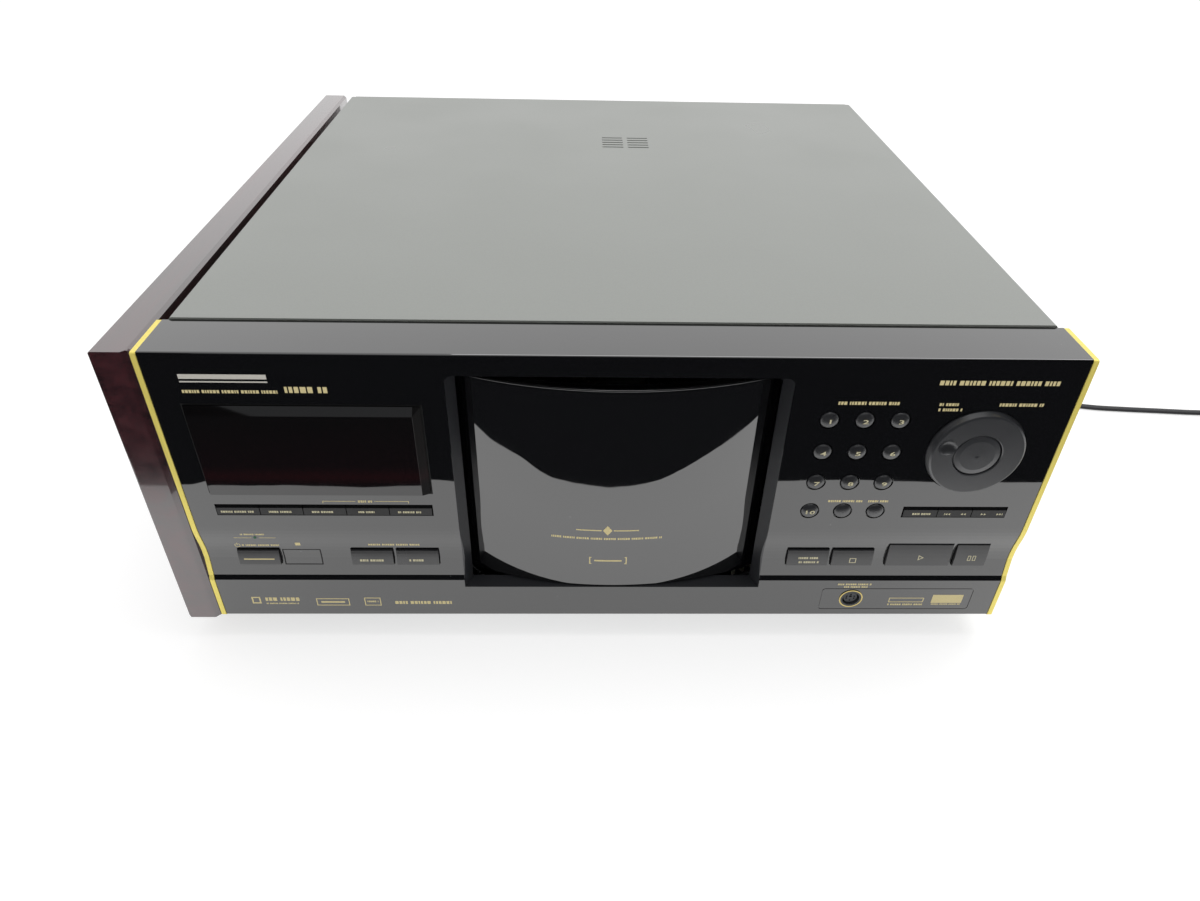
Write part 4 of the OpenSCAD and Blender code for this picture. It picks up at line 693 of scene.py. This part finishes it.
# %% [markdown]
# **Metals.** Zinc-plated sheet, the motors' cans, blackened screws, the turned hub and the gilt
# trims share one recipe: brush or turning lines are noise stretched along one axis. The trims'
# gilding lies under clear lacquer, so they are only partly metallic.

# %% Brushed and plated metal
def worked_metal(name, colour, roughness, line_mm, stretch, metallic=1.0):
    """Metal with brush or turning lines of this width, drawn out where the stretch is small."""
    tree, place, shader = start_finish(name)
    lines = add(tree, "ShaderNodeMapping", {"Vector": place, "Scale": stretch})
    streak = add(tree, "ShaderNodeTexNoise",
                 {"Vector": lines.outputs["Vector"], "Scale": size_scale(line_mm),
                  "Detail": 4.0}).outputs["Fac"]
    rough = add(tree, "ShaderNodeMapRange",
                {"Value": streak, "To Min": roughness - 0.1, "To Max": roughness + 0.1})
    bump = add(tree, "ShaderNodeBump",
               {"Height": streak, "Distance": 0.01 * MM, "Strength": 0.4})
    fill(tree, shader, {"Base Color": two_tones(tree, streak, colour, 0.75),
                        "Roughness": rough.outputs["Result"],
                        "Normal": bump.outputs["Normal"], "Metallic": metallic})


worked_metal("zinc_plated_steel", "#b9bcbb", 0.32, 1.5, (1, 0.06, 1))
worked_metal("nickel_motor_can", "#b3b4b8", 0.25, 1.0, (1, 1, 0.05))
worked_metal("turned_aluminium", "#c9cacd", 0.22, 0.6, (0.05, 1, 1))
worked_metal("black_oxide_screw", "#3a3a3c", 0.35, 0.8, (1, 1, 1))
worked_metal("gilt_aluminium", "#ffec7a", 0.34, 1.2, (1, 1, 0.04), metallic=0.32)

# %% [markdown]
# **Lacquered wood.** The side panel is a dark red-brown veneer under clear gloss lacquer. The
# grain runs from front to back: noise stretched along Y for the figure, with finer pores in it.

# %% Rosewood veneer
figure_size = 9
pore_size = 1.1
pore_share = 0.35
tree, place, shader = start_finish("lacquered_rosewood")
along = add(tree, "ShaderNodeMapping", {"Vector": place, "Scale": (1, 0.05, 1)})
figure = add(tree, "ShaderNodeTexNoise",
             {"Vector": along.outputs["Vector"], "Scale": size_scale(figure_size), "Detail": 5.0,
              "Distortion": 0.6})
pores = add(tree, "ShaderNodeTexNoise",
            {"Vector": along.outputs["Vector"], "Scale": size_scale(pore_size), "Detail": 2.0})
grain = add(tree, "ShaderNodeMath",
            {0: pores.outputs["Fac"], 1: pore_share, 2: figure.outputs["Fac"]},
            operation="MULTIPLY_ADD")
veneer = add(tree, "ShaderNodeValToRGB", {"Fac": grain.outputs[0]})
for stop, spot, colour in ((0, 0.45, "#1c080c"), (1, 0.9, "#46191f")):
    veneer.color_ramp.elements[stop].position = spot
    veneer.color_ramp.elements[stop].color = linear(colour)

# %% [markdown]
# The lacquer stops at the panel's inner front edge, where a strip is bare and dark. The front
# chamfer is sharp under its polish, so nearly all of its sideways lean is eased away.

# %% Lacquer on the veneer
batten_d = 5.2
dark_edge = 1.1
edge_reach = 4
lean_kept = 0.12
wood_low, wood_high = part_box("side_panel_left")
xyz = add(tree, "ShaderNodeSeparateXYZ", {"Vector": place})
inner = add(tree, "ShaderNodeMath",
            {0: xyz.outputs["X"], 1: wood_high.x - (batten_d + dark_edge) * MM},
            operation="GREATER_THAN")
fore = add(tree, "ShaderNodeMath", {0: xyz.outputs["Y"], 1: wood_low.y + edge_reach * MM},
           operation="LESS_THAN")
bare = add(tree, "ShaderNodeMath", {0: inner.outputs[0], 1: fore.outputs[0]},
           operation="MULTIPLY").outputs[0]
polish = add(tree, "ShaderNodeMapRange",
             {"Value": figure.outputs["Fac"], "To Min": 0.12, "To Max": 0.28})
shine = add(tree, "ShaderNodeMix", {"Factor": bare, "A": polish.outputs["Result"], "B": 0.7})
coat = add(tree, "ShaderNodeMath", {0: 1.0, 1: bare}, operation="SUBTRACT")
crisp = eased_normal(tree, lean_kept)
fill(tree, shader, {"Base Color": veneer.outputs["Color"], "Roughness": shine.outputs["Result"],
                    "Coat Weight": coat.outputs[0], "Normal": crisp, "Coat Normal": crisp,
                    "IOR": 1.9, "Coat IOR": 1.7, "Coat Roughness": 0.04})
print("bare edge", dark_edge, "mm wide,", edge_reach, "mm deep")

# %% [markdown]
# **Two-tone parts.** A board with its jacks, the control socket, the transformer and the plug
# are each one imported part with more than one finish. A mask worked out from the point's place
# picks the second finish, so each keeps a single material. The jacks stand out behind the rear
# panel, and the plug's brass pins before its body.

# %% Masks by place
board_clear = 0.4
pin_length = 17.1
speckle_size = 1.5


def masked(name, base, other, mask_of, base_look, other_look):
    """Two finishes on one part: two tones each, and a look of metallic and roughness each."""
    tree, place, shader = start_finish(name)
    mask = mask_of(tree, add(tree, "ShaderNodeSeparateXYZ", {"Vector": place}))
    fine = add(tree, "ShaderNodeTexNoise",
               {"Vector": place, "Scale": size_scale(speckle_size), "Detail": 3.0}).outputs["Fac"]
    tints = [add(tree, "ShaderNodeMix", {"Factor": fine, "A": linear(dull), "B": linear(bright)},
                 data_type="RGBA").outputs["Result"] for dull, bright in (base, other)]
    tint = add(tree, "ShaderNodeMix", {"Factor": mask, "A": tints[0], "B": tints[1]},
               data_type="RGBA")
    metal = add(tree, "ShaderNodeMix", {"Factor": mask, "A": base_look[0], "B": other_look[0]})
    rough = add(tree, "ShaderNodeMix", {"Factor": mask, "A": base_look[1], "B": other_look[1]})
    fill(tree, shader, {"Base Color": tint.outputs["Result"],
                        "Metallic": metal.outputs["Result"],
                        "Roughness": rough.outputs["Result"]})


def side_of_y(edge, which):
    """A mask of the points on one side of a plane across the part."""
    return lambda tree, xyz: add(tree, "ShaderNodeMath", {0: xyz.outputs["Y"], 1: edge},
                                 operation=which).outputs[0]


rear_back_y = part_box("rear_panel")[1].y
masked("solder_mask_and_nickel", ("#0f4a2a", "#17603a"), ("#c9c7c0", "#a8a69f"),
       side_of_y(rear_back_y + board_clear * MM, "GREATER_THAN"), (0.0, 0.35), (1.0, 0.22))
plug_tip_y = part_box("mains_plug")[0].y
masked("black_pvc_and_brass", ("#1b1b1d", "#232326"), ("#d9c07a", "#b89f5c"),
       side_of_y(plug_tip_y + pin_length * MM, "LESS_THAN"), (0.0, 0.42), (1.0, 0.25))

# %% [markdown]
# The control socket's shell is black with a thin gilt ring round its mouth, so its mask is a
# band of radius about the socket's own axis.

# %% Control socket
gilt_ring = 0.7
socket_low, socket_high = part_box("keyboard_socket")
socket_x = (socket_low.x + socket_high.x) / 2
socket_z = (socket_low.z + socket_high.z) / 2
socket_r = (socket_high.x - socket_low.x) / 2


def ring_mask(tree, xyz):
    """1 on the outermost ring of the socket's round face."""
    dx = add(tree, "ShaderNodeMath", {0: xyz.outputs["X"], 1: socket_x}, operation="SUBTRACT")
    dz = add(tree, "ShaderNodeMath", {0: xyz.outputs["Z"], 1: socket_z}, operation="SUBTRACT")
    flat = add(tree, "ShaderNodeCombineXYZ", {"X": dx.outputs[0], "Y": dz.outputs[0]})
    away = add(tree, "ShaderNodeVectorMath", {0: flat.outputs["Vector"]}, operation="LENGTH")
    return add(tree, "ShaderNodeMath",
               {0: away.outputs["Value"], 1: socket_r - gilt_ring * MM},
               operation="GREATER_THAN").outputs[0]


masked("socket_black_and_gilt", ("#303134", "#3a3c3f"), ("#c9b36e", "#d6c488"),
       ring_mask, (0.0, 0.35), (1.0, 0.25))

# %% [markdown]
# The transformer's core is bare laminated steel; its winding, which stands out before and
# behind the core, is wrapped in yellow polyester tape.

# %% Transformer
core_half = 16.2
core_foot = 14
core_low, core_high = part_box("transformer")
core_mid_y = (core_low.y + core_high.y) / 2


def winding_mask(tree, xyz):
    """1 on what stands out before and behind the core, above its foot."""
    off = add(tree, "ShaderNodeMath", {0: xyz.outputs["Y"], 1: core_mid_y},
              operation="SUBTRACT")
    away = add(tree, "ShaderNodeMath", {0: off.outputs[0]}, operation="ABSOLUTE")
    out = add(tree, "ShaderNodeMath", {0: away.outputs[0], 1: core_half * MM},
              operation="GREATER_THAN")
    high = add(tree, "ShaderNodeMath", {0: xyz.outputs["Z"], 1: core_low.z + core_foot * MM},
               operation="GREATER_THAN")
    return add(tree, "ShaderNodeMath", {0: out.outputs[0], 1: high.outputs[0]},
               operation="MULTIPLY").outputs[0]


masked("laminated_core_and_tape", ("#6d6f70", "#8a8c8c"), ("#c9a63c", "#d8b955"),
       winding_mask, (0.8, 0.4), (0.0, 0.3))

# %% [markdown]
# ## Giving the parts their finishes
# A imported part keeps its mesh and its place. Only the material in its slots is set, and a table
# from finish to parts keeps that in one place.

# %% Assign
round_keys = [f"number_key_{i}" for i in range(1, 11)] + ["round_key_left", "round_key_right"]
slim_keys = [f"slim_key_{i}" for i in range(1, 6)] + [f"skip_key_{i}" for i in range(1, 4)]
large_keys = ["standby_key", "loader_access_key", "loader_play_key", "open_close_key",
              "stop_key", "play_key", "pause_key"]
dressing = {
    "piano_black_lacquer": ["front_panel", "ir_window"],
    "door_black_lacquer": ["door"],
    "smoked_red_acrylic": ["display_lens"],
    "socket_black_and_gilt": ["keyboard_socket"],
    "gilt_aluminium": ["end_trims"],
    "lacquered_rosewood": ["side_panel_left"],
    "sheen_painted_powder_coat": ["top_cover"],
    "black_powder_coat": ["rear_panel"],
    "zinc_plated_steel": ["chassis_base", "drive_frame", "clamp_arm"],
    "rubbery_black_feet": ["feet", "strain_relief"],
    "black_oxide_screw": ["case_screws"],
    "solder_mask_and_nickel": ["main_board", "front_boards"],
    "laminated_core_and_tape": ["transformer"],
    "nickel_motor_can": ["drive_motors"],
    "grey_abs_frame": ["mech_frame", "disc_pusher", "pickup"],
    "white_acetal_gears": ["door_gear", "rack_pinion", "rack_ring_gear"],
    "black_abs_rack": ["rack_tray", "rack_dividers"],
    "turned_aluminium": ["turntable"],
    "satin_grey_round_keys": round_keys,
    "satin_black_slim_keys": slim_keys,
    "satin_black_keys": large_keys,
    "satin_black_dial": ["jog_dial", "dial_button"],
    "black_pvc_and_brass": ["mains_plug"],
}
for finish, names in dressing.items():
    for name in names:
        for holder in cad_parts[name].material_slots:
            holder.material = finishes[finish]
mains_lead.data.materials.append(finishes["black_pvc_cord"])
print("dressed", sum(len(names) for names in dressing.values()), "parts")

# %% [markdown]
# ## Printing
# Captions on such a front are gold ink, screen-printed. Here every caption is a row of small
# plain blocks and only the keys' numbers and transport signs are real signs. Ink is a flat
# colour with a little speckle from the screen.

# %% Ink
def printed(name, colour, metallic, roughness):
    """Screen-printed ink or a foil badge, with specks of 0.6 mm."""
    tree, place, shader = start_finish(name)
    speck = add(tree, "ShaderNodeTexNoise",
                {"Vector": place, "Scale": size_scale(0.6), "Detail": 2.0})
    fill(tree, shader, {"Base Color": two_tones(tree, speck.outputs["Fac"], colour, 0.8),
                        "Metallic": metallic, "Roughness": roughness})


printed("gold_ink", "#d6c792", 0.0, 0.4)
printed("silver_badge", "#e6e2d8", 0.3, 0.25)
printed("grey_key_ink", "#c9c2a0", 0.0, 0.45)
printed("shadow_line", "#0c0c0d", 0.0, 0.6)

# %% [markdown]
# Print follows the face under it. The panel is flat at its top, curves back into a shallow cove
# below the keys and comes forward again in a ramp, and the door is part of a cylinder. A
# function for each gives the depth of the face at any point.

# %% Depth of the moulded face and of the door
cove_top = 64
cove_slope = 20
cove_d = 2.3
sill_h = 26.8
door_r = 200
lower_ramp = [(sill_h, 0), (29.8, 0.4 * cove_d), (32.264, 0.53 * cove_d),
              (36.52, 0.77 * cove_d), (41, cove_d), (cove_top - cove_slope, cove_d)]


def face_depth(x, z):
    """How far behind the flat the panel's face lies at height z."""
    if z >= cove_top or z <= sill_h:
        return 0
    if z >= cove_top - cove_slope:
        return cove_d * (1 - math.cos(math.pi * (cove_top - z) / cove_slope)) / 2
    for (z0, d0), (z1, d1) in zip(lower_ramp, lower_ramp[1:]):
        if z <= z1:
            return d0 + (d1 - d0) * (z - z0) / (z1 - z0)


def door_depth(x, z):
    """How far behind the flat the door's face lies, x from its middle."""
    return door_r - math.sqrt(door_r ** 2 - x ** 2)


print("depth of the cove", face_depth(0, 44), "mm, of the door at 60 mm",
      round(door_depth(60, 0), 2), "mm")

# %% [markdown]
# Each print is a thin slab. Its faces are laid flat first, each vertex is then set to the depth
# of the face at that point, and solidify gives the whole a body.

# %% Laying ink
ink_t = 0.05


def ink_mesh(name, bm, depth, lift_mm):
    """Lays the flat faces of bm (x, z in mm) on the face and gives them a thickness."""
    for v in bm.verts:
        x, z = v.co.x, v.co.z
        v.co = on_front(x, depth(x, z) - lift_mm, z)
    bmesh.ops.recalc_face_normals(bm, faces=bm.faces)
    for f in bm.faces:
        if f.normal.y > 0:
            f.normal_flip()
    bmesh.ops.solidify(bm, geom=bm.faces[:], thickness=ink_t * MM)
    return as_object(name, bm)


def put_down(name, bm, depth, body, ink, lift_mm=0.03):
    """Makes the print, inks it and lets it ride with the body that it is printed on."""
    made = ink_mesh(name, bm, depth, lift_mm)
    made.data.materials.append(finishes[ink])
    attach(made, body)
    print(name, len(made.data.polygons), "faces")


print("ink", ink_t, "mm thick")

# %% [markdown]
# Everything that is printed is built from four shapes: a block, a row of blocks for a caption,
# the outline of a rectangle and, further down, a triangle. A grid or a circle starts in the X-Y
# plane, so `upright` stands it up in the X-Z plane.

# %% Blocks, rows and outlines
upright = Matrix.Rotation(math.radians(90), 4, "X")
block_widths = (0.62, 0.38, 0.8, 0.5, 0.7)
block_gap = 0.22
word_gap = 0.5


def add_block(bm, x0, x1, z0, z1, cols=1):
    """One flat rectangle standing in the X-Z plane, two rows high."""
    place = (Matrix.Translation(((x0 + x1) / 2, 0, (z0 + z1) / 2))
             @ Matrix.Diagonal(((x1 - x0) / 2, 1, (z1 - z0) / 2, 1)) @ upright)
    bmesh.ops.create_grid(bm, x_segments=cols, y_segments=2, size=1, matrix=place)


def add_caption(bm, x0, x1, z0, z1, seed=0):
    """A row of small blocks of changing width that stands for a printed caption."""
    h = z1 - z0
    x = x0
    step = 0
    while x < x1 - 0.3 * h:
        if (step + seed) % 7 != 6:
            wide = h * block_widths[(step * 2 + seed) % 5]
            add_block(bm, x, min(x + wide, x1), z0, z1)
            x += wide + block_gap * h
        else:
            x += word_gap * h
        step += 1


def add_frame(bm, x0, x1, z0, z1, line):
    """The outline of a rectangle in four strokes."""
    add_block(bm, x0, x1, z1 - line, z1)
    add_block(bm, x0, x1, z0, z0 + line)
    add_block(bm, x0, x0 + line, z0 + line, z1 - line)
    add_block(bm, x1 - line, x1, z0 + line, z1 - line)


print("a caption 2 mm high has blocks of", [round(2 * w, 2) for w in block_widths], "mm")

# %% [markdown]
# The captions stand beside the keys and the display. Each entry gives the left and right end,
# the lower and the upper edge of one row, in millimetres on the panel.

# %% Gold captions on the panel
captions = [
    (-195.2, -153.1, 143.8, 145.4), (-149.8, -130.9, 144.2, 147.4), (144.0, 200.0, 150.8, 153.2),
    (100.0, 128.3, 139.9, 141.6), (146.8, 156.0, 139.6, 141.1), (147.0, 158.4, 136.7, 138.2),
    (173.9, 195.5, 139.5, 141.2), (105.8, 123.0, 81.8, 83.1), (125.9, 136.4, 81.8, 83.1),
    (121.8, 140.1, 23.3, 24.5), (125.5, 138.6, 21.4, 22.5), (-189.6, -177.0, 58.2, 59.2),
    (-191.0, -172.2, 49.4, 50.6), (-127.2, -100.0, 50.0, 51.3),
]
bm = bmesh.new()
for i, (x0, x1, z0, z1) in enumerate(captions):
    add_caption(bm, x0, x1, z0, z1, seed=i)
put_down("panel_captions", bm, face_depth, "case", "gold_ink")

# %% [markdown]
# Thin lines and brackets tie a caption to its keys. In the lower strip, blank outlined plates
# stand where format marks are usual. An outline's last number is its stroke, a row's its seed.

# %% Lines, brackets and blank plates on the panel
lines = [
    (-144.3, -128.2, 81.0, 81.3), (-118.8, -102.1, 81.0, 81.3), (-144.3, -144.0, 79.9, 81.0),
    (-102.4, -102.1, 79.9, 81.0), (-193.6, -184.6, 55.9, 56.2), (-180.8, -172.4, 55.9, 56.2),
    (-163.8, -161.2, 49.9, 52.1), (-157.1, -144.4, 9.5, 10.7), (175.9, 192.8, 9.6, 15.9),
]
plates = [
    (-159.6, -141.9, 7.4, 12.8, 0.5), (-133.8, -125.0, 7.4, 13.4, 0.5),
    (-193.9, -189.2, 8.9, 13.9, 0.8), (152.1, 171.4, 10.2, 13.6, 0.45),
]
small_rows = [
    (-126.9, -120.0, 80.4, 81.7, 2), (-132.3, -126.4, 9.9, 11.1, 1),
    (-186.6, -167.8, 10.9, 13.5, 3), (-186.6, -169.4, 8.5, 9.4, 4),
    (-117.4, -85.7, 8.6, 10.8, 2), (152.1, 171.4, 7.8, 9.0, 5), (175.9, 192.8, 8.2, 9.1, 6),
]
bm = bmesh.new()
for edges in lines:
    add_block(bm, *edges)
for *edges, stroke in plates:
    add_frame(bm, *edges, stroke)
for *edges, seed in small_rows:
    add_caption(bm, *edges, seed)
put_down("panel_lines", bm, face_depth, "case", "gold_ink")

# %% [markdown]
# The on sign is an open ring with a bar in its gap. A short stroke from the inner to the outer
# radius is spun round the ring's middle, and stops before the circle closes.

# %% The on sign
sign_mid = Vector((-193.3, 0, 50.0))
ring_r = (1.15, 1.5)
gap_from = math.radians(120)
ring_turn = math.radians(300)
ring_steps = 10
bm = bmesh.new()
ends = [bm.verts.new(sign_mid + r * Vector((math.cos(gap_from), 0, math.sin(gap_from))))
        for r in ring_r]
stroke = bm.edges.new(ends)
bmesh.ops.spin(bm, geom=ends + [stroke], cent=sign_mid, axis=(0, -1, 0), angle=ring_turn,
               steps=ring_steps)
add_block(bm, sign_mid.x - 0.2, sign_mid.x + 0.2, sign_mid.z + 0.2, sign_mid.z + 1.9)
put_down("on_sign", bm, face_depth, "case", "gold_ink")

# %% [markdown]
# A fine dark line of painted shade shows where two pieces of the front meet: round the infrared
# window, which is moulded in the same black, and round the display lens, where a narrow groove is
# left.

# %% Painted shade round the infrared window and in the groove round the lens
ir_shade_w = 0.5
lens_shade_out = 0.8
lens_shade_w = 0.75


def outline(name, low, high, margin, line):
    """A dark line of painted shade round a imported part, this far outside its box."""
    bm = bmesh.new()
    add_frame(bm, (low.x - panel_mid_x) / MM - margin, (high.x - panel_mid_x) / MM + margin,
              (low.z - panel_foot_z) / MM - margin, (high.z - panel_foot_z) / MM + margin, line)
    put_down(name, bm, face_depth, "case", "shadow_line")


# Both lines are painted shade: in the seam round the infrared window and in the groove round the
# lens.
ir_low, ir_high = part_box("ir_window")
outline("infrared_seam_shade", ir_low, ir_high, 0, ir_shade_w)
outline("lens_groove_shade", lens_low, lens_high, lens_shade_out, lens_shade_w)

# %% [markdown]
# The badge in the upper left corner is plain: a broad bar over a narrow one, in silver foil.

# %% A plain badge
badge_left, badge_right = -195.0, -156.5
bm = bmesh.new()
for z0, z1 in ((151.2, 153.6), (149.4, 150.1)):
    add_block(bm, badge_left, badge_right, z0, z1, cols=4)
put_down("plain_badge", bm, face_depth, "case", "silver_badge")

# %% [markdown]
# The door carries a lozenge between two lines, a caption and a blank plate. Long blocks get
# more columns here, because each column bends with the door's curve.

# %% Ornament on the door
bend_cols = 8
bm = bmesh.new()
for x0, x1, z0, z1 in ((-19.6, -6.6, 61.8, 62.5), (-0.4, 12.5, 61.8, 62.5),
                       (-10.0, 4.3, 40.6, 41.6)):
    add_block(bm, x0, x1, z0, z1, cols=bend_cols)
lozenge = Matrix.Translation((-3.5, 0, 62.15)) @ Matrix.Diagonal((2.4, 1, 3.2, 1)) @ upright
bmesh.ops.create_circle(bm, cap_ends=True, segments=4, radius=1, matrix=lozenge)
add_caption(bm, -32.3, 25.1, 55.9, 57.2, seed=1)
add_frame(bm, -12.7, 7.0, 38.6, 43.6, 0.6)
put_down("door_ornament", bm, door_depth, "door_panel", "gold_ink")

# %% [markdown]
# The door's upper rim is rounded over and catches a thin line of light. It is a bead half sunk
# in the shell: a small circle spun about the door's own axis, with its two ends filled. The
# bead has the door's finish and rides with it.

# %% Rounded rim of the door
bead_r = 0.55
bead_out = 0.12
bead_half_w = 75.5
bead_sides = 12
bead_steps = 60
door_top_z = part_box("door")[1].z
half_turn = math.asin(bead_half_w / door_r)
bead_z = (door_top_z - panel_foot_z) / MM - bead_r + bead_out
start = (Matrix.Rotation(-half_turn, 4, "Z")
         @ Matrix.Translation((0, bead_r - bead_out - door_r, 0))
         @ Matrix.Rotation(math.radians(90), 4, "Y"))
bm = bmesh.new()
bmesh.ops.create_circle(bm, segments=bead_sides, radius=bead_r, matrix=start)
bmesh.ops.spin(bm, geom=bm.verts[:] + bm.edges[:], cent=(0, 0, 0), axis=(0, 0, 1),
               angle=2 * half_turn, steps=bead_steps)
bmesh.ops.holes_fill(bm, edges=bm.edges, sides=bead_sides)
bmesh.ops.recalc_face_normals(bm, faces=bm.faces)
for v in bm.verts:
    v.co = on_front(v.co.x, v.co.y + door_r, v.co.z + bead_z)
door_rim = as_object("door_rim_bead", bm, round_walls=True)
door_rim.data.materials.append(finishes["door_black_lacquer"])
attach(door_rim, "door_panel")
print("door rim bead at z", round(door_top_z, 4))

# %% [markdown]
# ## Signs on the keys
# The round keys are domes, the slim ones are flat, and the large ones lean back towards their
# upper edge. Each kind has its own depth, counted as on the panel.

# %% Depth of the keys' faces
round_r = 4.35
round_proud = 1.4
dome_sunk = 0.3
dome_edge = 0.98
key_margin = 1
key_flat = 0.5
key_lean = 0.9
face_of = {name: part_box(name) for name in round_keys + slim_keys + large_keys}


def front_mm(point):
    """A point of the frame in millimetres on the front panel: x, depth, z."""
    return ((point.x - panel_mid_x) / MM, (point.y - panel_face_y) / MM,
            (point.z - panel_foot_z) / MM)


def dome_depth(mid_x, mid_z):
    """The depth of a round key's dome about its middle."""
    def depth(x, z):
        away = min(math.hypot(x - mid_x, z - mid_z) / (round_r * dome_edge), dome_edge)
        return dome_sunk - (round_proud + dome_sunk) * math.sqrt(1 - away ** 2)
    return depth


def flat_depth(name):
    """The depth of a slim key's flat face."""
    near = front_mm(face_of[name][0])[1]
    return lambda x, z: near


def big_key_depth(name):
    """The depth of a large key's face, which stands out most at its lower edge."""
    low, high = (front_mm(corner) for corner in face_of[name])
    near, z0, z1 = low[1], low[2] + key_margin, high[2] - key_margin

    def depth(x, z):
        t = max(0, min(1, (z1 - key_flat - z) / (z1 - z0 - 2 * key_flat)))
        return near + key_lean * (1 - t) ** 2
    return depth


print("depths for", len(face_of), "keys")

# %% [markdown]
# The numbers are Blender's own plain font. A text is a curve with a fill, so it is made a mesh
# before it is placed, and what is left of it is removed. The strokes are fattened and the
# figures widened to suit the small keys, and slivers from the curves are dissolved.

# %% Numbers
number_h = 2.3
number_shift = 0.1
number_lift = 0.22
cap_share = 0.72
fatter = 0.07
wider = 1.8
sliver = 0.01


def add_text(bm, words, mid_x, mid_z, height):
    """Lays the words, centred, as flat faces in the X-Z plane."""
    curve = bpy.data.curves.new("words", "FONT")
    curve.body = words
    curve.size = height / cap_share
    curve.align_x = "CENTER"
    curve.align_y = "CENTER"
    curve.resolution_u = 2
    curve.offset = fatter
    holder = bpy.data.objects.new("words", curve)
    mesh = bpy.data.meshes.new_from_object(holder)
    across = [v.co.x for v in mesh.vertices]
    centred = Matrix.Translation((-(min(across) + max(across)) / 2, 0, 0))
    mesh.transform(Matrix.Translation((mid_x, 0, mid_z)) @ upright
                   @ Matrix.Diagonal((wider, 1, 1, 1)) @ centred)
    bm.from_mesh(mesh)
    bmesh.ops.dissolve_degenerate(bm, edges=bm.edges, dist=sliver)
    bpy.data.meshes.remove(mesh)
    bpy.data.objects.remove(holder)
    bpy.data.curves.remove(curve)


for i in range(1, 11):
    name = f"number_key_{i}"
    low, high = face_of[name]
    mid_x, _, mid_z = front_mm((low + high) / 2)
    bm = bmesh.new()
    add_text(bm, str(i), mid_x + number_shift, mid_z - number_shift, number_h)
    put_down(f"number_print_{i}", bm, dome_depth(mid_x, mid_z), f"b_{name}",
             "grey_key_ink", lift_mm=number_lift)

# %% [markdown]
# The transport signs are the ordinary triangle, square and bars. A circle of three sides is the
# triangle, and inset and a missing middle make it an outline. The other large keys carry rows
# of blocks, and the standby key one bar. All places are in millimetres on the panel.

# %% Transport signs
def add_triangle(bm, x, z, size, line=0):
    """A triangle pointing right, or left for a negative size; an outline if a line is given."""
    towards = math.radians(-90 if size > 0 else 90)
    place = Matrix.Translation((x, 0, z)) @ upright @ Matrix.Rotation(towards, 4, "Z")
    made = bmesh.ops.create_circle(bm, cap_ends=True, segments=3, radius=abs(size),
                                   matrix=place)
    if line:
        middle = made["verts"][0].link_faces[:]
        bmesh.ops.inset_individual(bm, faces=middle, thickness=line, use_even_offset=True)
        bmesh.ops.delete(bm, geom=middle, context="FACES_ONLY")


def key_sign(name, draw, depth, ink="grey_key_ink"):
    """Draws a sign and prints it on the key, so that it moves when the key is pressed."""
    bm = bmesh.new()
    draw(bm)
    put_down(f"{name}_sign", bm, depth, f"b_{name}", ink)


def pause_bars(bm):
    """Two upright bars, as outlines."""
    for x in (187.2, 189.8):
        add_frame(bm, x, x + 1.7, 41.5, 44.9, 0.35)


def two_rows(bm):
    """Two rows of blocks, one above the other."""
    add_caption(bm, 97.4, 108.2, 42.4, 43.7, seed=1)
    add_caption(bm, 97.8, 108.8, 39.6, 40.9, seed=4)


for name, draw in (("play_key", lambda bm: add_triangle(bm, 161.8, 43.5, 2.0, line=0.4)),
                   ("stop_key", lambda bm: add_frame(bm, 124.6, 128.1, 39.8, 43.0, 0.4)),
                   ("pause_key", pause_bars),
                   ("open_close_key", two_rows),
                   ("loader_access_key",
                    lambda bm: add_caption(bm, -131.8, -119.2, 40.2, 41.6, seed=2)),
                   ("loader_play_key",
                    lambda bm: add_caption(bm, -106.3, -98.5, 40.3, 41.7, seed=5))):
    key_sign(name, draw, big_key_depth(name))
key_sign("standby_key", lambda bm: add_block(bm, -191.4, -175.8, 41.3, 42.0),
         big_key_depth("standby_key"), ink="gold_ink")

# %% [markdown]
# The slim keys have a row of blocks each, and the two skip keys a bar with two triangles, then
# two triangles more, all pointing one way.

# %% Captions and skip signs on the slim keys
slim_low, slim_high = 74.0, 75.2
skip_mid = 74.55
skip_length = 12.3
bar_half = 0.15
bar_low = 73.9
arrow_size = 0.75
for i, (x0, x1) in enumerate(((-194.9, -178.5), (-171.5, -159.4), (-150.4, -138.8),
                              (-127.5, -119.6), (-108.0, -96.6))):
    name = f"slim_key_{i + 1}"
    key_sign(name, lambda bm: add_caption(bm, x0, x1, slim_low, slim_high, seed=i),
             flat_depth(name))
key_sign("skip_key_1", lambda bm: add_caption(bm, 149.9, 159.6, slim_low, slim_high, seed=2),
         flat_depth("skip_key_1"))


def skip_sign(start_x, way):
    """The skip sign from start_x on, pointing left for a way of -1 and right for 1."""
    def draw(bm):
        bar_x = start_x if way < 0 else start_x + skip_length
        add_block(bm, bar_x - bar_half, bar_x + bar_half, bar_low, slim_high)
        for away in (1.1, 2.5, 9.0, 10.5):
            add_triangle(bm, bar_x - way * away, skip_mid, way * arrow_size)
    return draw


key_sign("skip_key_2", skip_sign(166.3, -1), flat_depth("skip_key_2"))
key_sign("skip_key_3", skip_sign(183.5, 1), flat_depth("skip_key_3"))
